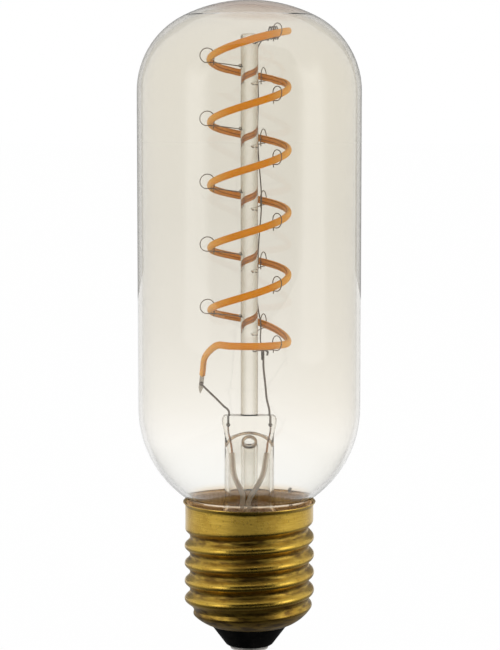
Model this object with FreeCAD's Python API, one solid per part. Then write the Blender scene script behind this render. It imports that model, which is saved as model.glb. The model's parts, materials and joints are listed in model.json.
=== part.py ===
"""Tubular lamp with a spiral filament and an E27 screw cap.

Units are millimetres. The lamp stands on its centre contact: the origin is the middle of the
contact's underside and +Z runs along the axis to the dome. -Y is the front. Angles are degrees
round the axis from +X, counted anticlockwise from above.
"""
import FreeCAD, Part
import math
import os

V = FreeCAD.Vector
AXIS = V(0, 0, 1)
ORIGIN = V(0, 0, 0)

# Driving dimensions of the glass bulb
BULB_D = 45.0
BULB_TOP = 131.5
GLASS_WALL = 0.8
CROWN_R = 29.6
KNUCKLE_R = 16.8
LOWER_CENTRE_Z = 49.7
NECK_D = 24.6
NECK_FILLET = 2.0
NECK_END_Z = 26.6

# Driving dimensions of the screw cap
SHEET = 0.25
THREAD_PITCH = 3.629
THREAD_CREST_D = 26.4
THREAD_ROOT_D = 24.2
THREAD_FLANK = 0.05
THREAD_FRONT_Z = 24.1
THREAD_LOW = -1640.0
THREAD_HIGH = 140.0
THREAD_RUNOUT = 55.0
SKIRT_D = 26.06
RIM_D = 26.9
RIM_Z = 30.5
LIP_HEIGHT = 0.9
BOWL_TOP_Z = 9.7
BOWL_R = 9.0
BOWL_HOLE_D = 16.6
BOWL_HOLE_Z = 5.25
INSULATOR_FLOOR_Z = 6.4
INSULATOR_END_D = 9.4
INSULATOR_END_Z = 0.95
INSULATOR_ROUND = 0.5
FIT = 0.2
CONTACT_D = 7.8
CONTACT_ROUND = 0.35
EYELET_D = 3.2
EYELET_WALL = 0.5
EYELET_HEAD = 0.7
CEMENT_TOP_Z = 30.15
CEMENT_END_Z = 26.9

# Driving dimensions of the glass stem
STEM_TUBE_D = 10.1
STEM_WALL = 0.8
FLARE_R = 4.9
STEM_ROUND_Z = 37.0
LOFT_STEP = 0.02
PRESS_TOP_Z = 48.1
PRESS_WIDTH = 11.1
PRESS_WAIST = 10.0
PRESS_THICK = 4.0
PRESS_WAIST_Z = 43.0
CAVITY_Z = 43.2
CAVITY_WIDTH = 8.2
CAVITY_THICK = 1.5
CAVITY_ARCH = 1.2
EXHAUST_D = 3.4
EXHAUST_WALL = 0.6
EXHAUST_TOP_Z = 42.0
EXHAUST_TIP_Z = 18.8
EXHAUST_HOLE_Z = 42.7
EXHAUST_HOLE_WIDTH = 2.0
EXHAUST_HOLE_HEIGHT = 1.5
ROD_D = 3.5
ROD_TOP_Z = 124.9
ROD_ROUND = 0.5

# Driving dimensions of the filament
SPIRAL_R = 7.9
SPIRAL_PITCH = 12.55
SPIRAL_BACK_Z = 66.75
SPIRAL_LEAN = 0.45
SPIRAL_TURNS = 5
FILAMENT_HEIGHT = 1.45
FILAMENT_WIDTH = 1.2
FILAMENT_REST_Z = 62.85
FILAMENT_TOP_Z = 125.5
TAIL_START = -140.0
TAIL_JOIN = -95.0
TAIL_DROP = 6.9
TAIL_REACH = 9.55
TAB_HEIGHT = 0.9
TAB_THICK = 0.25
TAB_SINK = 0.8
UPPER_TAB_END = 64.0
WRAP_FIRST = 59.0
WRAP_LAST = 44.0
WRAP_HEIGHT = 2.7
LOWER_TAB_LENGTH = 3.6

# Driving dimensions of the wires
LEAD_WIRE_D = 0.42
RISER_WIRE_D = 0.26
SEAL_WIRE_D = 0.34
OUTER_WIRE_D = 0.4
SLEEVE_D = 1.0
SEAL_X = 4.1
KNOT_Z = 46.2
KNOT_D = 0.8
FOOT_TOP_Z = 48.5
HOOK_WIRE_D = 0.2
HOOK_LOOP_R = 1.45
HOOK_LOOP_OUT = 0.65
HOOK_RISE = 0.8
HOOK_TAIL = 0.6
HOOK_GAP = 0.05
HOOK_SINK = 0.75
HOOK_ANGLES = {"left": 189.0, "back": 69.0, "front": 309.0}
HOOK_FIRST_TURN = {"left": 0, "back": 0, "front": -1}
HOOK_COUNTS = {"left": 5, "back": 5, "front": 6}

# Driving dimensions of the driver inside the cap
BOARD_WIDTH = 14.0
BOARD_THICK = 1.0
BOARD_BOTTOM_Z = 8.3
BOARD_TOP_Z = 18.0
CAPACITOR_D = 6.3
CAPACITOR_LENGTH = 8.0
CAPACITOR_Z = 13.2
PIN_D = 0.5
PIN_PITCH = 2.5
CHIP_SIZE = (4.9, 1.5, 3.9)
RECTIFIER_SIZE = (4.2, 1.6, 3.4)
CHIP_LEG = (0.9, 0.25, 0.45)
RESISTOR_D = 2.2
RESISTOR_LENGTH = 5.6
HOOKUP_WIRE_D = 0.3
WIRE_GAP = 0.06
NEUTRAL_ANGLE = 46.0
SOLDER_D = 1.0


def polar(r, angle, z):
    a = math.radians(angle)
    return V(r * math.cos(a), r * math.sin(a), z)


def section_point(r, z):
    """A point of a profile that is turned round the axis."""
    return V(r, 0, z)


def line(a, b):
    return Part.LineSegment(a, b).toShape()


def arc(centre, radius, start, end):
    """An arc of a profile in the XZ plane, from one angle to another."""
    def at(angle):
        a = math.radians(angle)
        return centre + V(radius * math.cos(a), 0, radius * math.sin(a))
    return Part.Arc(at(start), at((start + end) / 2), at(end)).toShape()


def polygon(points):
    """Straight edges through the points and back to the first."""
    return [line(a, b) for a, b in zip(points, points[1:] + points[:1])]


def turned(edges):
    """The solid that a closed profile sweeps in one turn round the axis."""
    face = Part.Face(Part.Wire(Part.sortEdges(edges)[0]))
    return face.revolve(ORIGIN, AXIS, 360)


def direction(point, centre):
    """The angle in the XZ plane of a point seen from a centre."""
    return math.degrees(math.atan2(point.z - centre.z, point.x - centre.x))


def bulb_profile(wall):
    """The bulb's outline from the neck's end to the top, moved inwards by a wall."""
    r = BULB_D / 2
    crown_c = section_point(0, BULB_TOP - CROWN_R)
    knuckle_x = r - KNUCKLE_R
    gap = CROWN_R - KNUCKLE_R
    knuckle_c = section_point(knuckle_x, crown_c.z + math.sqrt(gap ** 2 - knuckle_x ** 2))
    lower_c = section_point(0, LOWER_CENTRE_Z)
    neck_r = NECK_D / 2
    fillet_x = neck_r + NECK_FILLET
    reach = r + NECK_FILLET
    fillet_c = section_point(fillet_x, lower_c.z - math.sqrt(reach ** 2 - fillet_x ** 2))
    crown_end = direction(knuckle_c, crown_c)
    fillet_end = direction(lower_c, fillet_c)
    return [
        line(section_point(neck_r - wall, NECK_END_Z), section_point(neck_r - wall, fillet_c.z)),
        arc(fillet_c, NECK_FILLET + wall, 180, fillet_end),
        arc(lower_c, r - wall, fillet_end - 180, 0),
        line(section_point(r - wall, lower_c.z), section_point(r - wall, knuckle_c.z)),
        arc(knuckle_c, KNUCKLE_R - wall, 0, crown_end),
        arc(crown_c, CROWN_R - wall, crown_end, 90),
    ]


def make_envelope():
    """The blown bulb: one wall, open at the end of the neck."""
    neck_r = NECK_D / 2
    outer = bulb_profile(0)
    inner = bulb_profile(GLASS_WALL)
    top = line(section_point(0, BULB_TOP), section_point(0, BULB_TOP - GLASS_WALL))
    end = line(section_point(neck_r, NECK_END_Z), section_point(neck_r - GLASS_WALL, NECK_END_Z))
    return turned(outer + inner + [top, end])


def closed_loop(points):
    """A smooth closed wire through evenly counted points, so that loops loft cleanly."""
    count = len(points)
    curve = Part.BSplineCurve()
    knots = [i / count for i in range(count + 1)]
    curve.interpolate(Points=points, PeriodicFlag=True, Parameters=knots)
    return Part.Wire([curve.toShape()])


def superellipse(width, thick, power, z, count=24):
    """A level loop between an oval (power 2) and a rounded slot (higher powers)."""
    points = []
    for i in range(count):
        a = 2 * math.pi * i / count
        c = math.cos(a)
        s = math.sin(a)
        x = width / 2 * math.copysign(abs(c) ** (2 / power), c)
        y = thick / 2 * math.copysign(abs(s) ** (2 / power), s)
        points.append(V(x, y, z))
    return closed_loop(points)


def flare_solid():
    """The stem's tube and the trumpet that widens to the neck's end."""
    r = STEM_TUBE_D / 2
    curve_c = section_point(r + FLARE_R, NECK_END_Z + FLARE_R)
    brim = NECK_D / 2
    outer_r = FLARE_R + STEM_WALL
    return turned([
        line(section_point(brim, NECK_END_Z), section_point(curve_c.x, NECK_END_Z)),
        arc(curve_c, FLARE_R, 270, 180),
        line(section_point(r, curve_c.z), section_point(r, STEM_ROUND_Z)),
        line(section_point(r, STEM_ROUND_Z), section_point(r - STEM_WALL, STEM_ROUND_Z)),
        line(section_point(r - STEM_WALL, STEM_ROUND_Z), section_point(r - STEM_WALL, curve_c.z)),
        arc(curve_c, outer_r, 180, 270),
        line(section_point(curve_c.x, NECK_END_Z - STEM_WALL),
             section_point(brim, NECK_END_Z - STEM_WALL)),
        line(section_point(brim, NECK_END_Z - STEM_WALL), section_point(brim, NECK_END_Z)),
    ])


def press_solid():
    """The round tube pinched flat into the press that grips the wires."""
    d = STEM_TUBE_D - 2 * LOFT_STEP
    span = PRESS_WAIST_Z - STEM_ROUND_Z
    middle_z = STEM_ROUND_Z + 0.55 * span
    shoulder_z = PRESS_TOP_Z - 1.6
    return Part.makeLoft([
        superellipse(d, d, 2, STEM_ROUND_Z),
        superellipse(d, d * 0.985, 2, STEM_ROUND_Z + 0.12 * span),
        superellipse(d, (d + PRESS_THICK) / 2, 2.1, middle_z),
        superellipse(PRESS_WAIST, PRESS_THICK * 1.06, 2.6, PRESS_WAIST_Z),
        superellipse(PRESS_WIDTH, PRESS_THICK, 3, shoulder_z),
        superellipse(PRESS_WIDTH * 0.985, PRESS_THICK * 0.96, 3, PRESS_TOP_Z - 0.5),
        superellipse(PRESS_WIDTH * 0.92, PRESS_THICK * 0.88, 3, PRESS_TOP_Z),
    ], True, False)


def cavity_solid():
    """The hollow of the pinched tube, ending in an arch."""
    d = STEM_TUBE_D - 2 * STEM_WALL + 2 * LOFT_STEP
    span = PRESS_WAIST_Z - STEM_ROUND_Z
    middle_z = STEM_ROUND_Z + 0.55 * span
    return Part.makeLoft([
        superellipse(d, d, 2, STEM_ROUND_Z),
        superellipse(d, d * 0.98, 2, STEM_ROUND_Z + 0.12 * span),
        superellipse(d, (d + CAVITY_THICK) / 2, 2.1, middle_z),
        superellipse(CAVITY_WIDTH, CAVITY_THICK, 2.4, CAVITY_Z),
        superellipse(CAVITY_WIDTH * 0.45, CAVITY_THICK * 0.55, 2.2, CAVITY_Z + CAVITY_ARCH),
    ], True, False)


def make_stem(held):
    """The stem in one piece of glass, with a hole round everything that is sealed in it."""
    stem = flare_solid().fuse(press_solid()).cut(cavity_solid())
    seat = Part.makeCylinder(EXHAUST_D / 2, EXHAUST_TOP_Z - STEM_ROUND_Z, V(0, 0, STEM_ROUND_Z))
    bore_r = EXHAUST_D / 2 - EXHAUST_WALL
    bore = Part.makeCylinder(bore_r, EXHAUST_HOLE_Z + 0.5 - EXHAUST_TOP_Z, V(0, 0, EXHAUST_TOP_Z))
    hole = Part.Ellipse(ORIGIN, EXHAUST_HOLE_WIDTH / 2, EXHAUST_HOLE_HEIGHT / 2).toShape()
    hole = Part.Face(Part.Wire([hole])).extrude(V(0, 0, STEM_TUBE_D))
    hole.rotate(ORIGIN, V(1, 0, 0), 90)
    hole.translate(V(0, 0, EXHAUST_HOLE_Z))
    return stem.cut([seat, bore, hole] + held)


def make_exhaust_tube():
    """The tube that the bulb was emptied through, drawn to a closed tip."""
    r = EXHAUST_D / 2
    bore = r - EXHAUST_WALL
    tip_c = section_point(0, EXHAUST_TIP_Z + r)
    return turned([
        arc(tip_c, r, -90, 0),
        line(section_point(r, tip_c.z), section_point(r, EXHAUST_TOP_Z)),
        line(section_point(r, EXHAUST_TOP_Z), section_point(bore, EXHAUST_TOP_Z)),
        line(section_point(bore, EXHAUST_TOP_Z), section_point(bore, tip_c.z)),
        arc(tip_c, bore, 0, -90),
        line(section_point(0, tip_c.z - bore), section_point(0, EXHAUST_TIP_Z)),
    ])


def make_rod(holes):
    """The solid rod on the press, with a hole for the foot of each hook."""
    rod = Part.makeCylinder(ROD_D / 2, ROD_TOP_Z - PRESS_TOP_Z, V(0, 0, PRESS_TOP_Z))
    top = [e for e in rod.Edges if e.BoundBox.ZMin > ROD_TOP_Z - 0.01 and len(e.Vertexes) == 1]
    rod = rod.makeFillet(ROD_ROUND, top)
    return rod.cut(holes)


def hermite(t, a, b, slope_a, slope_b):
    """A cubic from a to b that leaves and arrives with the given slopes."""
    t2 = t * t
    t3 = t2 * t
    rise = (3 * t2 - 2 * t3) * (b - a)
    return a + rise + (t3 - 2 * t2 + t) * slope_a + (t3 - t2) * slope_b


def even_spiral_z(angle):
    """Height of the even turns, which lean down to the left."""
    climb = SPIRAL_PITCH * (angle - 90) / 360
    return SPIRAL_BACK_Z + climb + SPIRAL_LEAN * math.cos(math.radians(angle))


def spiral_z(angle):
    """Height of the filament's centre line, level at both ends."""
    rise_start = -20.0
    top_start = 360 * SPIRAL_TURNS - 90
    if angle <= rise_start:
        return FILAMENT_REST_Z
    if angle < 90:
        t = (angle - rise_start) / (90 - rise_start)
        slope = (SPIRAL_PITCH / 360 - SPIRAL_LEAN * math.pi / 180) * (90 - rise_start)
        return hermite(t, FILAMENT_REST_Z, even_spiral_z(90), 0, slope)
    if angle <= top_start:
        return even_spiral_z(angle)
    t = (angle - top_start) / 90
    slope = (SPIRAL_PITCH / 360 + SPIRAL_LEAN * math.pi / 180) * 90
    return hermite(t, even_spiral_z(top_start), FILAMENT_TOP_Z, slope, 0.8)


def tail_points():
    """Points of the hanging tail, from its end up to the level half turn."""
    end_z = FILAMENT_REST_Z - TAIL_DROP
    return [
        V(-TAIL_REACH, -0.2, end_z),
        V(-TAIL_REACH + 0.12, -0.35, end_z + 1.0),
        V(-TAIL_REACH + 0.25, -0.7, end_z + 2.3),
        V(-TAIL_REACH + 0.5, -1.5, end_z + 3.8),
        V(-TAIL_REACH + 1.65, -3.0, end_z + 5.6),
    ]


def spiral_points(start):
    """Points along the spiral from an angle to its top end."""
    last = 360 * SPIRAL_TURNS
    count = int((last - start) / 15)
    angles = [start + (last - start) * i / count for i in range(count + 1)]
    return [polar(SPIRAL_R, a, spiral_z(a)) for a in angles]


def oval_loop(place, outward, up, swell=1.0):
    """The filament's section, an oval across its path."""
    points = []
    for i in range(12):
        a = 2 * math.pi * i / 12
        across = outward * (FILAMENT_WIDTH / 2 * math.cos(a))
        points.append(place + across + up * (FILAMENT_HEIGHT / 2 * swell * math.sin(a)))
    return closed_loop(points)


def tail_solid():
    """The tail that bends down from the level half turn and swells at its end."""
    points = tail_points() + spiral_points(TAIL_START)[:4]
    points[-1] = polar(SPIRAL_R, TAIL_JOIN, FILAMENT_REST_Z)
    rise = (points[1] - points[0]).normalize()
    curve = through(points, rise, polar(1, TAIL_JOIN + 90, 0))
    loops = []
    for i, point in enumerate(points):
        forward = curve.tangent(curve.parameter(point))[0]
        outward = V(point.x, point.y, 0).normalize()
        up = outward.cross(forward).normalize()
        outward = forward.cross(up)
        swell = 1 + 0.25 * math.exp(-((i - 1.5) / 1.5) ** 2)
        loops.append(oval_loop(point, outward, up, swell))
    return Part.makeLoft(loops, True, False)


def spiral_solid():
    """The level half turn and the turns above it, swept with the section kept upright."""
    level = polar(1, TAIL_JOIN + 90, 0)
    path = through(spiral_points(TAIL_JOIN), level, V(0, 1, 0)).toShape()
    section = oval_loop(polar(SPIRAL_R, TAIL_JOIN, FILAMENT_REST_Z), polar(1, TAIL_JOIN, 0), AXIS)
    sweep = Part.BRepOffsetAPI.MakePipeShell(Part.Wire([path]))
    sweep.setBiNormalMode(AXIS)
    sweep.add(section)
    sweep.build()
    sweep.makeSolid()
    return sweep.shape()


def make_filament(tab):
    """The flexible filament, slit at its hanging end for the lower tab."""
    return spiral_solid().fuse(tail_solid()).cut(tab)


def make_upper_tab():
    """The round-edged strip that carries on the top turn to the riser's wraps."""
    round_r = TAB_THICK / 2
    low = V(SPIRAL_R, 0, FILAMENT_TOP_Z - TAB_HEIGHT / 2 + round_r)
    high = V(SPIRAL_R, 0, FILAMENT_TOP_Z + TAB_HEIGHT / 2 - round_r)
    across = V(round_r, 0, 0)
    outline = Part.Wire(Part.sortEdges([
        arc(low, round_r, 180, 360),
        line(low + across, high + across),
        arc(high, round_r, 0, 180),
        line(high - across, low - across),
    ])[0])
    return Part.Face(outline).revolve(ORIGIN, AXIS, UPPER_TAB_END)


def lower_tab_frame():
    """Start, direction and end of the lower tab."""
    start, after = tail_points()[:2]
    lean = (start - after).normalize()
    return start, lean, start + lean * LOWER_TAB_LENGTH


def make_lower_tab():
    """The pointed strip below the filament's hanging end."""
    start, lean, end = lower_tab_frame()
    side = lean.cross(V(0, 1, 0)).normalize()
    face_dir = lean.cross(side).normalize()
    half = side * (TAB_HEIGHT / 2)
    back = face_dir * (TAB_THICK / 2)
    top = start - lean * TAB_SINK
    shoulder = end - lean * 1.2
    corners = [top + half, shoulder + half, end, shoulder - half, top - half]
    outline = Part.Wire(polygon([c - back for c in corners]))
    return Part.Face(outline).extrude(face_dir * TAB_THICK)


def through(points, start=None, end=None):
    """A smooth curve through points, with an optional heading at each end."""
    curve = Part.BSplineCurve()
    if start is None:
        curve.interpolate(Points=points)
    else:
        curve.interpolate(Points=points, InitialTangent=start, FinalTangent=end)
    return curve


def bend(a, heading, b):
    """The arc, or the line, that leaves a with a heading and ends at b."""
    chord = b - a
    along = V(chord).normalize()
    turn = math.acos(max(-1.0, min(1.0, heading.dot(along))))
    if turn < 1e-4:
        return line(a, b)
    aside = (heading - along * heading.dot(along)).normalize()
    crown = (a + b) * 0.5 + aside * (chord.Length / 2 * math.tan(turn / 2))
    return Part.Arc(a, crown, b).toShape()


def end_heading(a, heading, b):
    """The heading with which that arc arrives at b."""
    along = (b - a).normalize()
    return along * (2 * heading.dot(along)) - heading


def two_bends(a, heading, b, arrival):
    """Two arcs that join smoothly and meet a heading at both ends."""
    chord = b - a
    both = heading + arrival
    spare = 2 * (1 - heading.dot(arrival))
    across = chord.dot(both)
    if spare < 1e-6:
        reach = chord.dot(chord) / (2 * across)
    else:
        reach = (math.sqrt(across ** 2 + spare * chord.dot(chord)) - across) / spare
    joint = (a + b + (heading - arrival) * reach) * 0.5
    return [bend(a, heading, joint), bend(b, arrival * -1, joint)]


def wire_path(points, start=None, end=None):
    """The path of a bent wire: arcs and lines that follow a smooth curve through the points."""
    curve = through(points, start, end)
    headings = [curve.tangent(curve.parameter(p))[0] for p in points]
    edges = []
    for i in range(len(points) - 1):
        edges += two_bends(points[i], headings[i], points[i + 1], headings[i + 1])
    return edges


def pipe(edges, diameter):
    """A round wire or cord along joined edges."""
    path = Part.Wire(edges)
    start = path.OrderedVertexes[0].Point
    first = path.OrderedEdges[0]
    heading = first.tangentAt(first.getParameterByLength(0))
    if (first.valueAt(first.FirstParameter) - start).Length > 1e-6:
        heading = first.tangentAt(first.LastParameter) * -1
    ring = Part.Wire([Part.Circle(start, heading, diameter / 2).toShape()])
    return path.makePipeShell([ring], True, False)


def cord(points, diameter):
    return pipe(wire_path(points), diameter)


def hook_level(filament_z):
    """Height of a hook's wire under the filament, so that the filament lies on it."""
    slope = math.atan(SPIRAL_PITCH / (2 * math.pi * SPIRAL_R))
    return filament_z - FILAMENT_HEIGHT / 2 / math.cos(slope) - HOOK_WIRE_D / 2 - HOOK_GAP


def hook_shank(angle, filament_z):
    """The foot in the rod and the knee where the loop begins."""
    z = hook_level(filament_z)
    foot = polar(ROD_D / 2 - HOOK_SINK, angle, z - HOOK_RISE)
    knee = polar(SPIRAL_R + HOOK_LOOP_OUT - 2 * HOOK_LOOP_R, angle, z - 0.15)
    return foot, knee


def hook_hole(angle, filament_z):
    """The hole in the rod round a hook's foot."""
    foot, knee = hook_shank(angle, filament_z)
    return Part.makeCylinder(HOOK_WIRE_D / 2, 2 * HOOK_SINK, foot, knee - foot)


def make_hook(angle, filament_z):
    """One pigtail support: a foot in the rod, a loop round the filament and a short tail."""
    radial = polar(1, angle, 0)
    side = V(-radial.y, radial.x, 0)
    shank_z = hook_level(filament_z)
    loop_z = shank_z + HOOK_LOOP_R
    step = HOOK_WIRE_D * 1.3
    centre_r = SPIRAL_R + HOOK_LOOP_OUT

    def at(out, z, aside=0.0):
        return radial * out + side * aside + V(0, 0, z)

    foot, knee = hook_shank(angle, filament_z)
    points = [knee, at(centre_r, shank_z)]
    for quarter in range(1, 4):
        a = math.radians(90 * quarter - 90)
        out = centre_r + HOOK_LOOP_R * math.cos(a)
        points.append(at(out, loop_z + HOOK_LOOP_R * math.sin(a), step * quarter / 3))
    points.append(at(centre_r - HOOK_LOOP_R + 0.2, shank_z - HOOK_TAIL, step))
    edges = [line(foot, knee)]
    heading = (knee - foot).normalize()
    for a, b in zip(points, points[1:]):
        edges.append(bend(a, heading, b))
        heading = end_heading(a, heading, b)
    return pipe(edges, HOOK_WIRE_D)


def hook_places():
    """Name, angle and filament height of every support: three a turn, counted from the bottom."""
    places = []
    for row, angle in HOOK_ANGLES.items():
        for number in range(HOOK_COUNTS[row]):
            turn = HOOK_FIRST_TURN[row] + number
            name = "hook_%s_%d" % (row, number + 1)
            places.append((name, angle, spiral_z(angle + 360 * turn)))
    return places


def lead_foot(side):
    """The straight foot of a lead wire in the press, down to its weld knot."""
    knot = V(side * SEAL_X, 0, KNOT_Z)
    stem = Part.makeCylinder(LEAD_WIRE_D / 2, FOOT_TOP_Z - KNOT_Z, knot)
    return stem.fuse(Part.makeSphere(KNOT_D / 2, knot))


def make_left_lead(tab):
    """The stiff wire from the press to the lower tab, with its weld on the tab."""
    start, lean, _ = lower_tab_frame()
    weld = start + lean * 1.5 + V(0, -(TAB_THICK + LEAD_WIRE_D) / 2, 0)
    points = [
        V(-SEAL_X, 0, FOOT_TOP_Z),
        V(-SEAL_X - 0.65, -0.25, 49.6),
        V(-SEAL_X - 2.1, -0.5, 51.0),
        weld,
    ]
    wire = pipe(wire_path(points, AXIS, V(-0.68, 0, 0.73)), LEAD_WIRE_D)
    bead = Part.makeSphere(LEAD_WIRE_D, weld)
    return lead_foot(-1).fuse([wire, bead]).cut(tab)


def right_lead_top():
    """The straight upright that the riser is welded to, beside and behind the rod."""
    return V(2.86, 1.2, 58.6), V(2.86, 1.2, 60.8)


def make_right_lead():
    """The stiff stub from the press, ending in a small hooked tail."""
    low, high = right_lead_top()
    rise = [
        V(SEAL_X, 0, FOOT_TOP_Z),
        V(SEAL_X - 0.4, 0.35, 50.6),
        V(SEAL_X - 0.85, 0.85, 54.2),
        low,
    ]
    tail = [
        high,
        high + V(0.35, 0.05, 0.5),
        high + V(0.72, 0.1, 0.15),
        high + V(0.78, 0.12, -0.7),
    ]
    climb = wire_path(rise, AXIS, AXIS)
    hook = wire_path(tail, AXIS, V(0, 0, -1))
    return lead_foot(1).fuse(pipe(climb + [line(low, high)] + hook, LEAD_WIRE_D))


def wrap_points():
    """The riser's close wraps round the upper tab."""
    wraps = 4
    per_wrap = 8
    out = TAB_THICK / 2 + RISER_WIRE_D / 2 + 0.1
    up = WRAP_HEIGHT / 2
    points = []
    for i in range(wraps * per_wrap + 1):
        a = 2 * math.pi * i / per_wrap
        along = WRAP_FIRST + (WRAP_LAST - WRAP_FIRST) * i / (wraps * per_wrap)
        r = SPIRAL_R - out * math.sin(a)
        points.append(polar(r, along, FILAMENT_TOP_Z - up * math.cos(a)))
    return points


def make_riser():
    """The thin wire up beside the rod that feeds the filament's top end."""
    low, high = right_lead_top()
    beside = V(-(LEAD_WIRE_D + RISER_WIRE_D) / 2, 0, 0)
    start = low + beside + V(0, 0, 0.6)
    leave = high + beside
    climb = [
        leave,
        V(2.25, 1.3, 63.4),
        V(2.35, 1.4, 65.9),
        V(1.8, 1.5, 69.6),
        V(1.65, 1.5, 74.8),
        V(1.95, 1.4, 83.6),
        V(2.45, 1.3, 91.3),
        V(1.95, 1.4, 99.2),
        V(1.7, 1.5, 108.0),
        V(1.75, 1.6, 114.3),
        V(1.35, 1.9, 120.5),
        V(2.2, 2.6, 123.3),
        V(3.4, 4.6, 124.3),
        polar(SPIRAL_R - 0.7, 60.5, FILAMENT_TOP_Z - WRAP_HEIGHT / 2 - 0.1),
    ]
    path = wire_path(climb + wrap_points(), AXIS, polar(-1, WRAP_LAST, 0))
    return pipe([line(start, leave)] + path, RISER_WIRE_D)


def seal_exit(side):
    """Where a seal wire leaves the glass for the hollow of the stem."""
    return V(side * 3.55, 0, CAVITY_Z - 0.9)


def make_seal_wire(side, knot):
    """The copper-clad wire that is gas-tight in the press."""
    points = [
        V(side * SEAL_X, 0, KNOT_Z),
        V(side * (SEAL_X - 0.03), 0, KNOT_Z - 1.2),
        V(side * (SEAL_X - 0.3), 0, CAVITY_Z + 0.3),
        seal_exit(side),
    ]
    return cord(points, SEAL_WIRE_D).cut(knot)


def outer_lead_points(side):
    """A sleeved lead: down the stem, round the front of the exhaust tube, to the board."""
    exit_point = seal_exit(side)
    lower_x = -1.25 if side < 0 else 0.0
    shift = 0.0 if side < 0 else 1.25
    board_y = -BOARD_THICK / 2 - OUTER_WIRE_D / 2 - WIRE_GAP
    return [
        exit_point,
        V(side * 3.35, -0.7, 40.3),
        V(side * 2.3 + lower_x * 0.3, -2.5, 35.5),
        V(lower_x, -3.1, 31.2),
        V(lower_x - 0.45, -3.3, 29.3),
        V(-1.6 + 2 * shift, -3.2, 25.0),
        V(-2.4 + 3.6 * shift, -2.2, 20.6),
        V(-2.6 + 4.16 * shift, board_y, BOARD_TOP_Z - 0.2),
        V(-2.6 + 4.16 * shift, board_y, BOARD_TOP_Z - 1.4),
    ]


def make_outer_lead(side):
    return cord(outer_lead_points(side), OUTER_WIRE_D)


def make_sleeve(side):
    """The insulating sleeve that is slipped over an outer lead."""
    covered = wire_path(outer_lead_points(side))[2:-4]
    return pipe(covered, SLEEVE_D).cut(pipe(covered, OUTER_WIRE_D))


def thread_depth(angle, z):
    """How deep the rolled thread is at a place: round crests and roots, run out at both ends."""
    turns = (z - THREAD_FRONT_Z) / THREAD_PITCH - (angle - 270) / 360
    swing = 2 * math.pi * turns
    wave = math.cos(swing) - THREAD_FLANK * math.cos(3 * swing)
    depth = (THREAD_CREST_D - THREAD_ROOT_D) / 2
    drop = depth * (1 + wave / (1 - THREAD_FLANK)) / 2
    travel = (angle - 270) + 360 * round(turns)
    return drop * ease(travel - THREAD_LOW) * ease(THREAD_HIGH - travel)


def ease(past_end):
    """0 before the thread's end, 1 past its run-out, with a smooth rise between."""
    t = max(0.0, min(1.0, past_end / THREAD_RUNOUT))
    return t ** 3 * (10 - 15 * t + 6 * t * t)


def blank_radius(z):
    """The screw shell's outside before the thread is rolled."""
    body_r = THREAD_CREST_D / 2
    skirt_r = SKIRT_D / 2
    if z > RIM_Z - LIP_HEIGHT:
        t = (z - RIM_Z + LIP_HEIGHT) / LIP_HEIGHT
        return skirt_r + (RIM_D / 2 - skirt_r) * t * t * (3 - 2 * t)
    if z > BOWL_TOP_Z:
        t = max(0.0, min(1.0, (z - THREAD_FRONT_Z) / THREAD_PITCH + 0.5))
        return body_r + (skirt_r - body_r) * t * t * (3 - 2 * t)
    top = section_point(body_r, BOWL_TOP_Z)
    hole = section_point(BOWL_HOLE_D / 2, BOWL_HOLE_Z)
    chord = top - hole
    inward = V(-chord.z, 0, chord.x).normalize()
    centre = (top + hole) * 0.5 + inward * math.sqrt(BOWL_R ** 2 - (chord.Length / 2) ** 2)
    return centre.x + math.sqrt(BOWL_R ** 2 - (z - centre.z) ** 2)


def outer_radius(angle, z):
    return blank_radius(z) - thread_depth(angle, z)


def inner_radius(angle, z):
    """The inside of the sheet, one thickness in from the outside along its slope."""
    step = 0.02
    low = max(z - step, BOWL_HOLE_Z)
    high = min(z + step, RIM_Z)
    slope = (outer_radius(angle, high) - outer_radius(angle, low)) / (high - low)
    return outer_radius(angle, z) - SHEET * math.sqrt(1 + slope ** 2)


def shell_solid(radius):
    """A solid lofted through evenly spaced level rings of the shell's outside or inside."""
    count = round((RIM_Z - BOWL_HOLE_Z) / THREAD_PITCH * 10)
    angles = [360 * i / 24 for i in range(24)]
    rings = []
    for i in range(count + 1):
        z = BOWL_HOLE_Z + (RIM_Z - BOWL_HOLE_Z) * i / count
        rings.append(closed_loop([polar(radius(a, z), a, z) for a in angles]))
    return Part.makeLoft(rings, True, False)


def make_screw_shell(room):
    """The rolled screw shell: one sheet, from the lip over the thread to the bowl."""
    return shell_solid(outer_radius).cut(room)


def bowl_room(z):
    """The clear radius inside the bowl at a level, less the fit of the insulator."""
    return min(inner_radius(a, z) for a in range(0, 360, 15)) - FIT


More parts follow.
